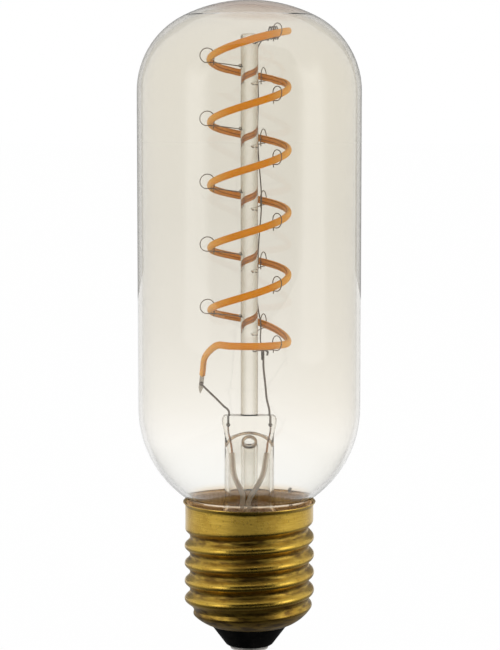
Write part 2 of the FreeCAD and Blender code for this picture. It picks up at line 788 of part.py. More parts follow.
def make_insulator():
    """The glassy black insulator cast into the bottom of the cap."""
    cone_r = (BOWL_HOLE_D / 2 + inner_radius(0, BOWL_HOLE_Z)) / 2
    end_r = INSULATOR_END_D / 2
    side = [section_point(bowl_room(z), z) for z in
            (BOWL_HOLE_Z, (BOWL_HOLE_Z + INSULATOR_FLOOR_Z) / 2, INSULATOR_FLOOR_Z)]
    disc = turned([
        Part.Arc(*side).toShape(),
        line(side[2], section_point(0, INSULATOR_FLOOR_Z)),
        line(section_point(0, INSULATOR_FLOOR_Z), section_point(0, BOWL_HOLE_Z)),
        line(section_point(0, BOWL_HOLE_Z), side[0]),
    ])
    cone = turned(polygon([
        section_point(0, INSULATOR_END_Z),
        section_point(end_r, INSULATOR_END_Z),
        section_point(cone_r, BOWL_HOLE_Z),
        section_point(0, BOWL_HOLE_Z),
    ]))
    rim = [e for e in cone.Edges if abs(e.BoundBox.ZMax - INSULATOR_END_Z) < 0.01
           and e.BoundBox.XLength > INSULATOR_END_D * 0.9]
    cone = cone.makeFillet(INSULATOR_ROUND, rim)
    bore = Part.makeCylinder(EYELET_D / 2, INSULATOR_FLOOR_Z + 1, V(0, 0, 0))
    body = disc.fuse(cone).cut(bore)
    return body.removeSplitter()


def make_centre_contact():
    """The contact plate and the eyelet that is spread over the insulator's floor."""
    r = CONTACT_D / 2
    tube = EYELET_D / 2
    bore = tube - EYELET_WALL
    head = tube + EYELET_HEAD
    floor = INSULATOR_FLOOR_Z
    plate_round = section_point(r - CONTACT_ROUND, CONTACT_ROUND)
    return turned([
        line(section_point(0, 0), section_point(r - CONTACT_ROUND, 0)),
        arc(plate_round, CONTACT_ROUND, -90, 0),
        line(section_point(r, CONTACT_ROUND), section_point(r, INSULATOR_END_Z)),
        line(section_point(r, INSULATOR_END_Z), section_point(tube, INSULATOR_END_Z)),
        line(section_point(tube, INSULATOR_END_Z), section_point(tube, floor)),
        line(section_point(tube, floor), section_point(head, floor)),
        line(section_point(head, floor), section_point(head, floor + 0.25)),
        line(section_point(head, floor + 0.25), section_point(tube, floor + 0.6)),
        line(section_point(tube, floor + 0.6), section_point(bore, floor + 0.6)),
        line(section_point(bore, floor + 0.6), section_point(bore, INSULATOR_END_Z)),
        line(section_point(bore, INSULATOR_END_Z), section_point(0, INSULATOR_END_Z)),
        line(section_point(0, INSULATOR_END_Z), section_point(0, 0)),
    ])


def make_cement(inside):
    """The cement that holds the neck in the skirt, sunk a little at its top."""
    inner = NECK_D / 2
    outer = SKIRT_D / 2 - SHEET
    middle = (inner + outer) / 2
    top = Part.Arc(section_point(inner, CEMENT_TOP_Z + 0.15),
                   section_point(middle, CEMENT_TOP_Z - 0.1),
                   section_point(outer, CEMENT_TOP_Z + 0.1)).toShape()
    ring = turned([
        top,
        line(section_point(outer, CEMENT_TOP_Z + 0.1), section_point(outer, CEMENT_END_Z)),
        line(section_point(outer, CEMENT_END_Z), section_point(inner, CEMENT_END_Z)),
        line(section_point(inner, CEMENT_END_Z), section_point(inner, CEMENT_TOP_Z + 0.15)),
    ])
    return ring.cut(inside)


def box(size, centre):
    """A block of (x, y, z) size about a centre."""
    corner = centre - V(size[0] / 2, size[1] / 2, size[2] / 2)
    return Part.makeBox(size[0], size[1], size[2], corner)


def capacitor_pins():
    """The capacitor's two legs through the board."""
    length = BOARD_THICK + 1.0
    start = BOARD_THICK / 2
    pins = []
    for side in (-1, 1):
        foot = V(side * PIN_PITCH / 2, start, CAPACITOR_Z)
        pins.append(Part.makeCylinder(PIN_D / 2, length, foot, V(0, -1, 0)))
    return pins


def make_capacitor():
    """The smoothing capacitor: a can with a crimped waist, on two legs."""
    r = CAPACITOR_D / 2
    start = BOARD_THICK / 2
    can = Part.makeCylinder(r, CAPACITOR_LENGTH, V(0, start, CAPACITOR_Z), V(0, 1, 0))
    rims = [e for e in can.Edges if len(e.Vertexes) == 1]
    can = can.makeFillet(0.4, rims)
    waist = Part.makeTorus(r + 0.25, 0.5, V(0, start + 1.4, CAPACITOR_Z), V(0, 1, 0))
    return can.cut(waist).fuse(capacitor_pins())


def make_smd(size, centre, legs):
    """A flat component against the board's front, with legs along two sides."""
    body = box(size, centre)
    upright = [e for e in body.Edges if abs(e.BoundBox.YLength - size[1]) < 0.01]
    body = body.makeFillet(0.2, upright)
    parts = []
    y = -BOARD_THICK / 2 - CHIP_LEG[1] / 2
    for side in (-1, 1):
        for k in range(legs):
            z = centre.z + (k - (legs - 1) / 2) * size[2] / legs
            x = centre.x + side * (size[0] / 2 + CHIP_LEG[0] / 2 - 0.2)
            parts.append(box(CHIP_LEG, V(x, y, z)))
    return body.fuse(parts)


def resistor_leg_points(side, z):
    """One bent leg of the fuse resistor, ending in the board."""
    y = -BOARD_THICK / 2 - RESISTOR_D / 2 - 0.1
    x = side * RESISTOR_LENGTH / 2
    out = side * (RESISTOR_LENGTH / 2 + 1.1)
    return V(x - side * 0.4, y, z), V(out, y, z), V(out, BOARD_THICK / 2 + 0.4, z)


def make_resistor(z):
    """The fuse resistor, lying in front of the board on two bent legs."""
    y = -BOARD_THICK / 2 - RESISTOR_D / 2 - 0.1
    start = V(-RESISTOR_LENGTH / 2, y, z)
    body = Part.makeCylinder(RESISTOR_D / 2, RESISTOR_LENGTH, start, V(1, 0, 0))
    body = body.makeFillet(0.35, [e for e in body.Edges if len(e.Vertexes) == 1])
    legs = []
    for side in (-1, 1):
        a, corner, end = resistor_leg_points(side, z)
        reach = abs(corner.x - a.x)
        legs.append(Part.makeCylinder(PIN_D / 2, reach, a, V(side, 0, 0)))
        legs.append(Part.makeSphere(PIN_D / 2, corner))
        legs.append(Part.makeCylinder(PIN_D / 2, end.y - corner.y, corner, V(0, 1, 0)))
    return body.fuse(legs)


def make_board(fitted):
    """The driver's circuit board, upright on the contact's eyelet, with a hole for each leg."""
    height = BOARD_TOP_Z - BOARD_BOTTOM_Z
    board = box((BOARD_WIDTH, BOARD_THICK, height), V(0, 0, BOARD_BOTTOM_Z + height / 2))
    return board.cut(fitted)


def make_live_lead():
    """The wire from the board down the eyelet to the contact."""
    y = -BOARD_THICK / 2 - HOOKUP_WIRE_D / 2 - WIRE_GAP
    points = [
        V(6.4, y, BOARD_BOTTOM_Z + 1.9),
        V(6.3, y - 0.1, BOARD_BOTTOM_Z + 0.7),
        V(5.0, y - 0.3, BOARD_BOTTOM_Z - 0.3),
        V(2.0, y - 0.2, BOARD_BOTTOM_Z - 0.3),
        V(0.5, -0.4, BOARD_BOTTOM_Z - 0.7),
        V(0, 0, BOARD_BOTTOM_Z - 1.8),
        V(0, 0, INSULATOR_END_Z + 3.0),
        V(0, 0, INSULATOR_END_Z + 0.05),
    ]
    return cord(points, HOOKUP_WIRE_D)


def neutral_wire():
    """The wire from the board up behind the skirt to the rim, without its solder."""
    gap_r = (NECK_D / 2 + SKIRT_D / 2 - SHEET) / 2
    y = BOARD_THICK / 2 + HOOKUP_WIRE_D / 2 + WIRE_GAP
    points = [
        V(5.6, y, BOARD_TOP_Z - 2.4),
        V(5.7, y + 0.2, BOARD_TOP_Z - 1.0),
        V(6.6, 2.4, BOARD_TOP_Z + 1.2),
        polar(11.0, NEUTRAL_ANGLE, 22.6),
        polar(gap_r - 0.2, NEUTRAL_ANGLE, 24.6),
        polar(gap_r, NEUTRAL_ANGLE, NECK_END_Z - 0.6),
        polar(gap_r, NEUTRAL_ANGLE, NECK_END_Z),
        polar(gap_r, NEUTRAL_ANGLE, 28.3),
        polar(gap_r, NEUTRAL_ANGLE, RIM_Z + 0.03),
    ]
    return cord(points, HOOKUP_WIRE_D)


def solder_bead():
    return Part.makeSphere(SOLDER_D / 2, polar(SKIRT_D / 2 - 0.25, NEUTRAL_ANGLE, RIM_Z + 0.15))


def export(pieces):
    os.makedirs("parts", exist_ok=True)
    for name, shape in pieces.items():
        solids = shape.Solids
        if len(solids) != 1:
            raise ValueError("%s has %d solids" % (name, len(solids)))
        solids[0].exportStep("parts/%s.step" % name)


def glass_pieces():
    """The bulb, its stem and all that the glass carries."""
    upper_tab = make_upper_tab()
    lower_tab = make_lower_tab()
    left_lead = make_left_lead(lower_tab)
    right_lead = make_right_lead()
    feet = [lead_foot(-1), lead_foot(1)]
    left_seal = make_seal_wire(-1, feet[0])
    right_seal = make_seal_wire(1, feet[1])
    hooks = hook_places()
    pieces = {
        "glass_envelope": make_envelope(),
        "stem_flare": make_stem(feet + [left_seal, right_seal]),
        "exhaust_tube": make_exhaust_tube(),
        "glass_rod": make_rod([hook_hole(angle, z) for _, angle, z in hooks]),
        "led_filament": make_filament(lower_tab),
        "filament_tab_upper": upper_tab,
        "filament_tab_lower": lower_tab,
        "lead_wire_left": left_lead,
        "lead_wire_right": right_lead,
        "riser_wire": make_riser(),
        "seal_wire_left": left_seal,
        "seal_wire_right": right_seal,
        "outer_lead_left": make_outer_lead(-1),
        "outer_lead_right": make_outer_lead(1),
        "lead_sleeve_left": make_sleeve(-1),
        "lead_sleeve_right": make_sleeve(1),
    }
    for name, angle, z in hooks:
        pieces[name] = make_hook(angle, z)
    return pieces


def cap_pieces():
    """The screw cap with the driver inside it."""
    room = shell_solid(inner_radius)
    shell = make_screw_shell(room)
    wire = neutral_wire()
    resistor_z = BOARD_TOP_Z - 2.7
    resistor = make_resistor(resistor_z)
    fitted = capacitor_pins() + [resistor]
    y = -BOARD_THICK / 2
    chip_c = V(-3.4, y - CHIP_SIZE[1] / 2, BOARD_BOTTOM_Z + 2.6)
    rectifier_c = V(3.1, y - RECTIFIER_SIZE[1] / 2, BOARD_BOTTOM_Z + 2.6)
    return {
        "screw_shell": shell,
        "cap_insulator": make_insulator(),
        "centre_contact": make_centre_contact(),
        "capping_cement": make_cement([wire, solder_bead(), make_envelope()]),
        "driver_board": make_board(fitted),
        "smoothing_capacitor": make_capacitor(),
        "driver_chip": make_smd(CHIP_SIZE, chip_c, 4),
        "bridge_rectifier": make_smd(RECTIFIER_SIZE, rectifier_c, 2),
        "fuse_resistor": resistor,
        "live_lead": make_live_lead(),
        "neutral_lead": wire.fuse(solder_bead().cut(shell)),
    }


pieces = glass_pieces()
pieces.update(cap_pieces())
export(pieces)
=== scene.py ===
# %% [markdown]
# A tubular filament lamp, dressed for its portrait.
# The solids come in as a fixed frame: nothing here moves them. This notebook gives each of them its finish,
# makes the filament and the small glass beads anew as surfaces worked out with numpy, and lights the whole
# thing in a white studio. Lengths are in metres, and +Z points from the contact to the dome.

# %% Load the frame
import json
import math

import bpy
import numpy as np
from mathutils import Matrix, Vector


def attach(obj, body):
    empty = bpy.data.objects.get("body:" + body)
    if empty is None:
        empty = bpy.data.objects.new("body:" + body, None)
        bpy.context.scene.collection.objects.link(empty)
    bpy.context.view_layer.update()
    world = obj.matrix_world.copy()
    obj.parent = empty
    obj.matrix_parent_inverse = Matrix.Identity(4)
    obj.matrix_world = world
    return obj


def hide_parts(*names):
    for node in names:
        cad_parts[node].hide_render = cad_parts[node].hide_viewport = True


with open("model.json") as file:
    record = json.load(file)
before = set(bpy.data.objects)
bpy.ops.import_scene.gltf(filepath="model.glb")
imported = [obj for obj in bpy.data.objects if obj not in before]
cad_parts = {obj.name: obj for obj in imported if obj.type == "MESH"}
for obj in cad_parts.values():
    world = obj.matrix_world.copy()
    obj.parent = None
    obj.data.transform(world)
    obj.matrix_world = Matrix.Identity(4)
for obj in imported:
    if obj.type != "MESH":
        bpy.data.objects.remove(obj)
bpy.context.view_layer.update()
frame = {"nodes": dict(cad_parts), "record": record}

# %% [markdown]
# Nodes are easier to read when each one is written on one line: its kind, its settings, and what feeds it.
# A feed may be a number, a colour, or another node's output socket, and this helper links or sets it.


# %% A one-line node
def add(tree, kind, feeds=None, **settings):
    """Adds a node; feeds maps an input's name or number to a value or to a socket."""
    node = tree.nodes.new(kind)
    for key, value in settings.items():
        setattr(node, key, value)
    for key, value in (feeds or {}).items():
        if isinstance(value, bpy.types.NodeSocket):
            tree.links.new(value, node.inputs[key])
        else:
            node.inputs[key].default_value = value
    return node


def math_node(tree, operation, a, b=0.0, c=0.0):
    """One arithmetic step on numbers or sockets, and its result."""
    return add(tree, "ShaderNodeMath", {0: a, 1: b, 2: c}, operation=operation).outputs[0]


def noise(tree, place, scale, detail, **more):
    """Soft noise at a place, from 0 to 1."""
    feeds = {"Vector": place, "Scale": scale, "Detail": detail, **more}
    return add(tree, "ShaderNodeTexNoise", feeds).outputs["Fac"]


def ramp(tree, value, stops):
    """A colour ramp: stops are (place, colour) pairs from 0 to 1."""
    node = add(tree, "ShaderNodeValToRGB", {"Fac": value})
    while len(node.color_ramp.elements) < len(stops):
        node.color_ramp.elements.new(0.5)
    for element, (place, colour) in zip(node.color_ramp.elements, stops):
        element.position = place
        element.color = (*colour, 1)
    return node.outputs["Color"]


def remap(tree, value, low, high, to_low=0.0, to_high=1.0):
    """A value carried evenly from one range to another, and held at its ends."""
    feeds = {"Value": value, "From Min": low, "From Max": high, "To Min": to_low, "To Max": to_high}
    return add(tree, "ShaderNodeMapRange", feeds).outputs["Result"]


def blend(tree, factor, a, b, mode="MIX"):
    """Two colours mixed by a factor. The Mix node keeps its colour sockets at 6 and 7."""
    node = add(tree, "ShaderNodeMix", data_type="RGBA", blend_type=mode)
    for key, value in ((0, factor), (6, a), (7, b)):
        if isinstance(value, bpy.types.NodeSocket):
            tree.links.new(value, node.inputs[key])
        elif key == 0:
            node.inputs[key].default_value = value
        else:
            node.inputs[key].default_value = (*value, 1)
    return node.outputs[2]


print("node helpers: add, math_node, noise, ramp, remap, blend")

# %% [markdown]
# Patterns follow the solid itself, so they read its Object coordinates. The height above the contact is Z,
# the way across the picture is X, and the distance from the axis is the square root of X squared plus Y
# squared.


# %% Where a point lies on the lamp
def object_place(tree):
    """The place of the point being shaded, on the lamp."""
    return add(tree, "ShaderNodeTexCoord").outputs["Object"]


def object_parts(tree):
    """That place taken apart into its X, Y and Z."""
    return add(tree, "ShaderNodeSeparateXYZ", {0: object_place(tree)}).outputs


def axis_distance(tree):
    """How far the point being shaded is from the lamp's axis."""
    parts = object_parts(tree)
    flat = math_node(tree, "ADD", math_node(tree, "MULTIPLY", parts["X"], parts["X"]),
                     math_node(tree, "MULTIPLY", parts["Y"], parts["Y"]))
    return math_node(tree, "SQRT", flat)


def stretched(tree, flat_scale):
    """Object coordinates with X and Y scaled down, which draws a pattern out round the lamp."""
    feeds = {"Vector": object_place(tree), "Scale": (flat_scale, flat_scale, 1)}
    return add(tree, "ShaderNodeMapping", feeds).outputs[0]


print("place helpers: object_place, object_parts, axis_distance, stretched")

# %% [markdown]
# Three effects come back in many finishes, so each is a group: specks of age, the fine lines that drawing
# leaves along a wire, and the shallow unevenness of a surface that was once soft. They put out masks and
# heights only, and each material mixes them in its own way.

# %% The shared groups
STAIN_FROM, SPREAD_WEIGHT = 0.85, 0.6
SPECKS_PER_STAIN = 5.0
SPECK_EDGE, SPECK_CORE = 0.28, 0.12
STAIN_SOFTNESS = 0.2
DRAWN_STRETCH = 0.02


def new_group(name, inputs, outputs):
    """An empty shader group with named number inputs and outputs."""
    group = bpy.data.node_groups.new(name, "ShaderNodeTree")
    for label, value in inputs:
        socket = group.interface.new_socket(label, in_out="INPUT", socket_type="NodeSocketFloat")
        socket.default_value = value
    for label in outputs:
        group.interface.new_socket(label, in_out="OUTPUT", socket_type="NodeSocketFloat")
    return group, group.nodes.new("NodeGroupInput"), group.nodes.new("NodeGroupOutput")


def make_age_group():
    """Cloudy stains where noise passes a threshold, and specks from the distance to scattered points."""
    group, given, result = new_group("age", [("Scale", 400.0), ("Spread", 0.5)], ["Stain", "Speck"])
    place = object_place(group)
    cloud = noise(group, place, given.outputs["Scale"], 6.0, Roughness=0.65)
    spread = math_node(group, "MULTIPLY", given.outputs["Spread"], SPREAD_WEIGHT)
    low = math_node(group, "SUBTRACT", STAIN_FROM, spread)
    stain = add(group, "ShaderNodeMapRange", {"Value": cloud, "From Min": low})
    group.links.new(math_node(group, "ADD", low, STAIN_SOFTNESS), stain.inputs["From Max"])
    fine = math_node(group, "MULTIPLY", given.outputs["Scale"], SPECKS_PER_STAIN)
    cells = add(group, "ShaderNodeTexVoronoi", {"Vector": place, "Scale": fine})
    speck = remap(group, cells.outputs["Distance"], SPECK_EDGE, SPECK_CORE)
    group.links.new(stain.outputs["Result"], result.inputs["Stain"])
    group.links.new(speck, result.inputs["Speck"])
    return group


def make_drawn_group():
    """Noise stretched fiftyfold along Z: the marks of a die on a wire or of rolling on a strip."""
    group, given, result = new_group("drawn_lines", [("Scale", 9000.0)], ["Lines"])
    feeds = {"Vector": object_place(group), "Scale": (1, 1, DRAWN_STRETCH)}
    long = add(group, "ShaderNodeMapping", feeds).outputs[0]
    lines = noise(group, long, given.outputs["Scale"], 2.0)
    group.links.new(remap(group, lines, 0.35, 0.65), result.inputs["Lines"])
    return group


def make_uneven_group():
    """Slow noise: the height of glass or silicone that set by itself."""
    group, given, result = new_group("uneven", [("Scale", 60.0)], ["Height"])
    height = noise(group, object_place(group), given.outputs["Scale"], 1.0)
    group.links.new(height, result.inputs["Height"])
    return group


groups = {"age": make_age_group(), "drawn": make_drawn_group(), "uneven": make_uneven_group()}
print("groups:", sorted(groups))

# %% [markdown]
# A material starts from Blender's Principled shader. A group is placed in it with values of its own, and
# the heights that the groups put out go through a Bump node, whose distance is in metres.


# %% Helpers that start a material and place a group
def start(name):
    """A new material with its tree, its main shader and its output."""
    material = bpy.data.materials.new(name)
    material.use_nodes = True
    tree = material.node_tree
    return material, tree, tree.nodes["Principled BSDF"], tree.nodes["Material Output"]


def use(tree, name, **values):
    """A group placed in a material with its own values."""
    node = tree.nodes.new("ShaderNodeGroup")
    node.node_tree = groups[name]
    for label, value in values.items():
        node.inputs[label].default_value = value
    return node.outputs


def set_plain(shader, values):
    """Values that are the same all over a surface, set on the shader's own sockets."""
    for label, value in values.items():
        shader.inputs[label].default_value = value


def link_bump(tree, shader, height, distance, strength):
    """A Bump node on a height, in front of the shader's Normal."""
    feeds = {"Height": height, "Distance": distance, "Strength": strength}
    tree.links.new(add(tree, "ShaderNodeBump", feeds).outputs["Normal"], shader.inputs["Normal"])


def facing(tree):
    """0 where the surface faces the eye and 1 where it turns away."""
    return add(tree, "ShaderNodeLayerWeight", {"Blend": 0.5}).outputs["Facing"]


finishes = {}
print("material helpers: start, use, set_plain, link_bump, facing")

# %% [markdown]
# The envelope is blown glass with a warm film that is strongest at the dome and fades out towards the neck.
# A colour ramp on height gives that fade, and near the dome it tips a little to one side; its last stops
# give a darker band at the very top of the dome. A Layer Weight node darkens the colour towards the outline:
# partly the longer path through the film, partly painted shade standing in for darker reflections at the
# edges. Light has to reach what is inside, so for shadow and diffuse rays the glass is a plain tinted
# filter. The lowest stops are the brown of the cement behind the neck.

# %% Glass of the envelope
FILM = [
    (0.0, (0.80, 0.68, 0.52)),
    (0.018, (0.90, 0.80, 0.65)),
    (0.028, (0.84, 0.72, 0.56)),
    (0.036, (1.0, 1.0, 0.985)),
    (0.10, (1.0, 0.997, 0.975)),
    (0.165, (0.986, 0.97, 0.938)),
    (0.224, (0.942, 0.923, 0.877)),
    (0.36, (0.89, 0.868, 0.817)),
    (0.58, (0.86, 0.838, 0.782)),
    (0.87, (0.862, 0.837, 0.774)),
    (0.976, (0.87, 0.845, 0.788)),
    (0.983, (0.70, 0.585, 0.50)),
    (1.0, (0.69, 0.575, 0.49)),
]
FILM_LOW, FILM_HIGH = 0.028, 0.1315
TIP_LOW, TIP_HIGH, TIP = 0.10, 0.12, 0.05
EDGE_POWER = 4.0
EDGE_SHADE_TINT = (0.50, 0.49, 0.48)
EDGE_LOW, EDGE_HIGH, EDGE_STRONG = 0.085, 0.105, 1.25
HEAVY_FROM, HEAVY_TO, HEAVY_TINT = 0.004, 0.020, (0.985, 0.98, 0.968)
ENVELOPE_FILTER = (0.93, 0.91, 0.87)


def let_light_in(tree, shader, output, colour):
    """Shadow and diffuse rays see a tinted filter in place of the glass shader."""
    path = add(tree, "ShaderNodeLightPath").outputs
    light = math_node(tree, "MAXIMUM", path["Is Shadow Ray"], path["Is Diffuse Ray"])
    filter_node = add(tree, "ShaderNodeBsdfTransparent", {"Color": (*colour, 1)})
    mixed = add(tree, "ShaderNodeMixShader", {0: light, 1: shader.outputs[0], 2: filter_node.outputs[0]})
    tree.links.new(mixed.outputs[0], output.inputs["Surface"])


def make_tinted_glass():
    """Film colour by height, painted shade where the wall turns away, and times a faint tint to the right.
    """
    material, tree, shader, output = start("tinted_glass")
    parts = object_parts(tree)
    tip = math_node(tree, "MULTIPLY", parts["X"], remap(tree, parts["Z"], TIP_LOW, TIP_HIGH, 0.0, TIP))
    tipped = math_node(tree, "ADD", parts["Z"], tip)
    film = ramp(tree, remap(tree, tipped, FILM_LOW, FILM_HIGH), FILM)
    # painted shade towards the outline, partly also the longer path through the film
    edge = math_node(tree, "POWER", facing(tree), EDGE_POWER)
    edge = math_node(tree, "MULTIPLY", edge, remap(tree, parts["Z"], EDGE_LOW, EDGE_HIGH, EDGE_STRONG, 1.0))
    edge_shaded = blend(tree, edge, film, blend(tree, 1.0, film, EDGE_SHADE_TINT, "MULTIPLY"))
    heavy = remap(tree, parts["X"], HEAVY_FROM, HEAVY_TO)
    tree.links.new(blend(tree, heavy, edge_shaded, HEAVY_TINT, "MULTIPLY"), shader.inputs["Base Color"])
    set_plain(shader, {"Transmission Weight": 1.0, "Roughness": 0.0, "IOR": 1.47})
    link_bump(tree, shader, use(tree, "uneven", Scale=38.0)["Height"], distance=0.0002, strength=0.1)
    let_light_in(tree, shader, output, ENVELOPE_FILTER)
    return material


finishes["tinted_glass"] = make_tinted_glass()
print("film stops:", len(FILM))

# %% [markdown]
# The stem is thin blown glass and the rod is solid. One function makes both, each with a colour ramp of its
# own on
# how far the surface turns away: painted shade along the outline, which comes much sooner on the rod, partly
# for its thicker glass. Deep in the cap the stem takes the brown of what lies round it. The seam and lips of
# the press are a darker brown glass, and their darkening towards the outline is painted shade too.

# %% Glass of the stem, the rod and the press
THIN_WALL_OUTLINE_SHADE = [
    (0.0, (0.995, 0.99, 0.975)),
    (0.15, (0.95, 0.94, 0.915)),
    (0.35, (0.85, 0.83, 0.79)),
    (0.6, (0.70, 0.66, 0.60)),
    (1.0, (0.14, 0.09, 0.05)),
]
THICK_ROD_OUTLINE_SHADE = [
    (0.0, (0.995, 0.985, 0.965)),
    (0.05, (0.94, 0.925, 0.895)),
    (0.15, (0.77, 0.745, 0.69)),
    (0.35, (0.64, 0.60, 0.535)),
    (0.6, (0.52, 0.46, 0.38)),
    (1.0, (0.12, 0.07, 0.04)),
]
SHADES = [(0.3, (0.975, 0.97, 0.955)), (0.7, (0.995, 0.99, 0.98))]
FOOT_HIGH, FOOT_LOW, FOOT_TINT = 0.0315, 0.0295, (0.80, 0.66, 0.48)
PRESS_BROWNS = [(0.35, (0.40, 0.28, 0.17)), (0.65, (0.64, 0.52, 0.38))]
PRESS_OUTLINE_SHADE = (0.12, 0.06, 0.03)
STEM_IOR = 1.5
STEM_FILTER = (0.96, 0.95, 0.93)


def make_stem_glass(name, outline_shades):
    """Uneven pale glass, times the ramp of painted outline shade, times the brown of its foot."""
    material, tree, shader, output = start(name)
    shade = ramp(tree, use(tree, "uneven", Scale=220.0)["Height"], SHADES)
    # painted shade along the outline, partly also the thicker glass of the rod
    clear = blend(tree, 1.0, shade, ramp(tree, facing(tree), outline_shades), "MULTIPLY")
    foot = remap(tree, object_parts(tree)["Z"], FOOT_HIGH, FOOT_LOW)
    tree.links.new(blend(tree, foot, clear, FOOT_TINT, "MULTIPLY"), shader.inputs["Base Color"])
    set_plain(shader, {"Transmission Weight": 1.0, "Roughness": 0.0, "IOR": STEM_IOR})
    link_bump(tree, shader, use(tree, "uneven", Scale=260.0)["Height"], distance=0.00008, strength=0.3)
    let_light_in(tree, shader, output, STEM_FILTER)
    return material


def make_dark_press_glass():
    """Brown glass, darker towards its outline as painted shade."""
    material, tree, shader, _ = start("dark_press_glass")
    cloud = use(tree, "uneven", Scale=500.0)["Height"]
    # painted shade: the brown darkens towards the outline
    tree.links.new(blend(tree, facing(tree), ramp(tree, cloud, PRESS_BROWNS), PRESS_OUTLINE_SHADE),
                   shader.inputs["Base Color"])
    set_plain(shader, {"Transmission Weight": 1.0, "Roughness": 0.02, "IOR": STEM_IOR})
    link_bump(tree, shader, cloud, distance=0.0001, strength=0.4)
    return material


finishes["stem_glass"] = make_stem_glass("stem_glass", THIN_WALL_OUTLINE_SHADE)
finishes["rod_glass"] = make_stem_glass("rod_glass", THICK_ROD_OUTLINE_SHADE)
finishes["dark_press_glass"] = make_dark_press_glass()
print("glasses:", sorted(finishes))

# %% [markdown]
# The filament is a soft cord: rows of tiny emitters on a flexible strip, cast in amber silicone loaded with
# phosphor. Outside it is a plain glowing orange; inside, where the strip lies close under the surface, dark
# lengthwise lines show. The pattern follows the cord, so it is read from the cord's own UV map, where U
# runs round the section and V along the length in centimetres. The sides of each turn are painted paler:
# painted light, as from the side lamps.

# %% Phosphor
INNER_EDGE, INNER_CORE = 0.30, 0.16
LINE_COUNT, LINE_WANDER = 6, 0.012
LINE_EDGE, LINE_CORE, LINE_DARK = 0.55, 0.95, 0.65
PULSES_PER_CM = 8
GRAIN_SCALE = 4200.0
ORANGE = [(0.3, (0.76, 0.265, 0.0)), (0.7, (0.86, 0.32, 0.0))]
BROWN = [(0.3, (0.58, 0.22, 0.034)), (0.7, (0.70, 0.29, 0.06))]
PULSE_TINT, ORANGE_SIDE_LIGHT, BROWN_SIDE_LIGHT = (0.86, 0.38, 0.01), (0.88, 0.50, 0.17), (0.72, 0.36, 0.13)
LINE_COLOUR = (0.11, 0.04, 0.012)
SIDE_FROM, SIDE_TO = 0.0035, 0.0078
PULSE_WEIGHT, ORANGE_SIDE_LIGHT_WEIGHT, BROWN_SIDE_LIGHT_WEIGHT = 0.12, 0.75, 0.5


def sine_of(tree, value, cycles):
    """The sine of a value with so many waves to one unit."""
    return math_node(tree, "SINE", math_node(tree, "MULTIPLY", value, 2 * math.pi * cycles))


def make_phosphor():
    """Orange outside, brown with dark lines inside; the mask is the distance in U from the inner middle."""
    material, tree, shader, _ = start("phosphor")
    uv = add(tree, "ShaderNodeUVMap", uv_map="cord").outputs["UV"]
    parts = add(tree, "ShaderNodeSeparateXYZ", {0: uv}).outputs
    inner = math_node(tree, "ABSOLUTE", math_node(tree, "SUBTRACT", parts["X"], 0.5))
    inside = remap(tree, inner, INNER_EDGE, INNER_CORE)
    wobble = math_node(tree, "MULTIPLY", noise(tree, uv, 6.0, 3.0), LINE_WANDER)
    stripes = sine_of(tree, math_node(tree, "ADD", parts["X"], wobble), LINE_COUNT)
    line = math_node(tree, "MULTIPLY", remap(tree, stripes, LINE_EDGE, LINE_CORE), inside)
    pulse = sine_of(tree, parts["Y"], PULSES_PER_CM)
    grains = noise(tree, object_place(tree), GRAIN_SCALE, 3.0)
    side = math_node(tree, "ABSOLUTE", object_parts(tree)["X"])
    outer = blend(tree, remap(tree, pulse, -1, 1, 0.0, PULSE_WEIGHT), ramp(tree, grains, ORANGE), PULSE_TINT)
    # painted light: the sides of each turn are blended paler, as if lit from the side
    side_light = remap(tree, side, SIDE_FROM, SIDE_TO, 0.0, ORANGE_SIDE_LIGHT_WEIGHT)
    outer = blend(tree, side_light, outer, ORANGE_SIDE_LIGHT)
    side_light = remap(tree, side, SIDE_FROM, SIDE_TO, 0.0, BROWN_SIDE_LIGHT_WEIGHT)
    brown = blend(tree, side_light, ramp(tree, grains, BROWN), BROWN_SIDE_LIGHT)
    colour = blend(tree, inside, outer, brown)
    colour = blend(tree, math_node(tree, "MULTIPLY", line, LINE_DARK), colour, LINE_COLOUR)
    tree.links.new(colour, shader.inputs["Base Color"])
    tree.links.new(remap(tree, grains, 0.2, 0.8, 0.30, 0.48), shader.inputs["Roughness"])
    set_plain(shader, {"Subsurface Weight": 0.2, "Subsurface Radius": (1.0, 0.45, 0.1),
                       "Subsurface Scale": 0.0004, "Specular IOR Level": 0.02, "Sheen Weight": 0.06,
                       "Sheen Roughness": 0.5, "Sheen Tint": (1.0, 0.72, 0.38, 1)})
    height = math_node(tree, "ADD", grains, math_node(tree, "MULTIPLY", pulse, 0.6))
    link_bump(tree, shader, height, distance=0.00003, strength=0.5)
    return material


finishes["phosphor"] = make_phosphor()
print("phosphor: lines", LINE_COUNT, "pulses a centimetre", PULSES_PER_CM)

# %% [markdown]
# The cap is thin brass, rolled into shape, and handled since: lacquered once, now mottled. The grooves are
# nearer to the axis, so the distance from the axis is the mask that darkens them, broken up by streaks:
# partly dirt and tarnish, partly painted shade between the groove flanks; the crests stay bright. Stains and
# specks come from the shared group, and fine rings are the marks of rolling. Each dark layer is one row of a
# list: its mask and its colour.

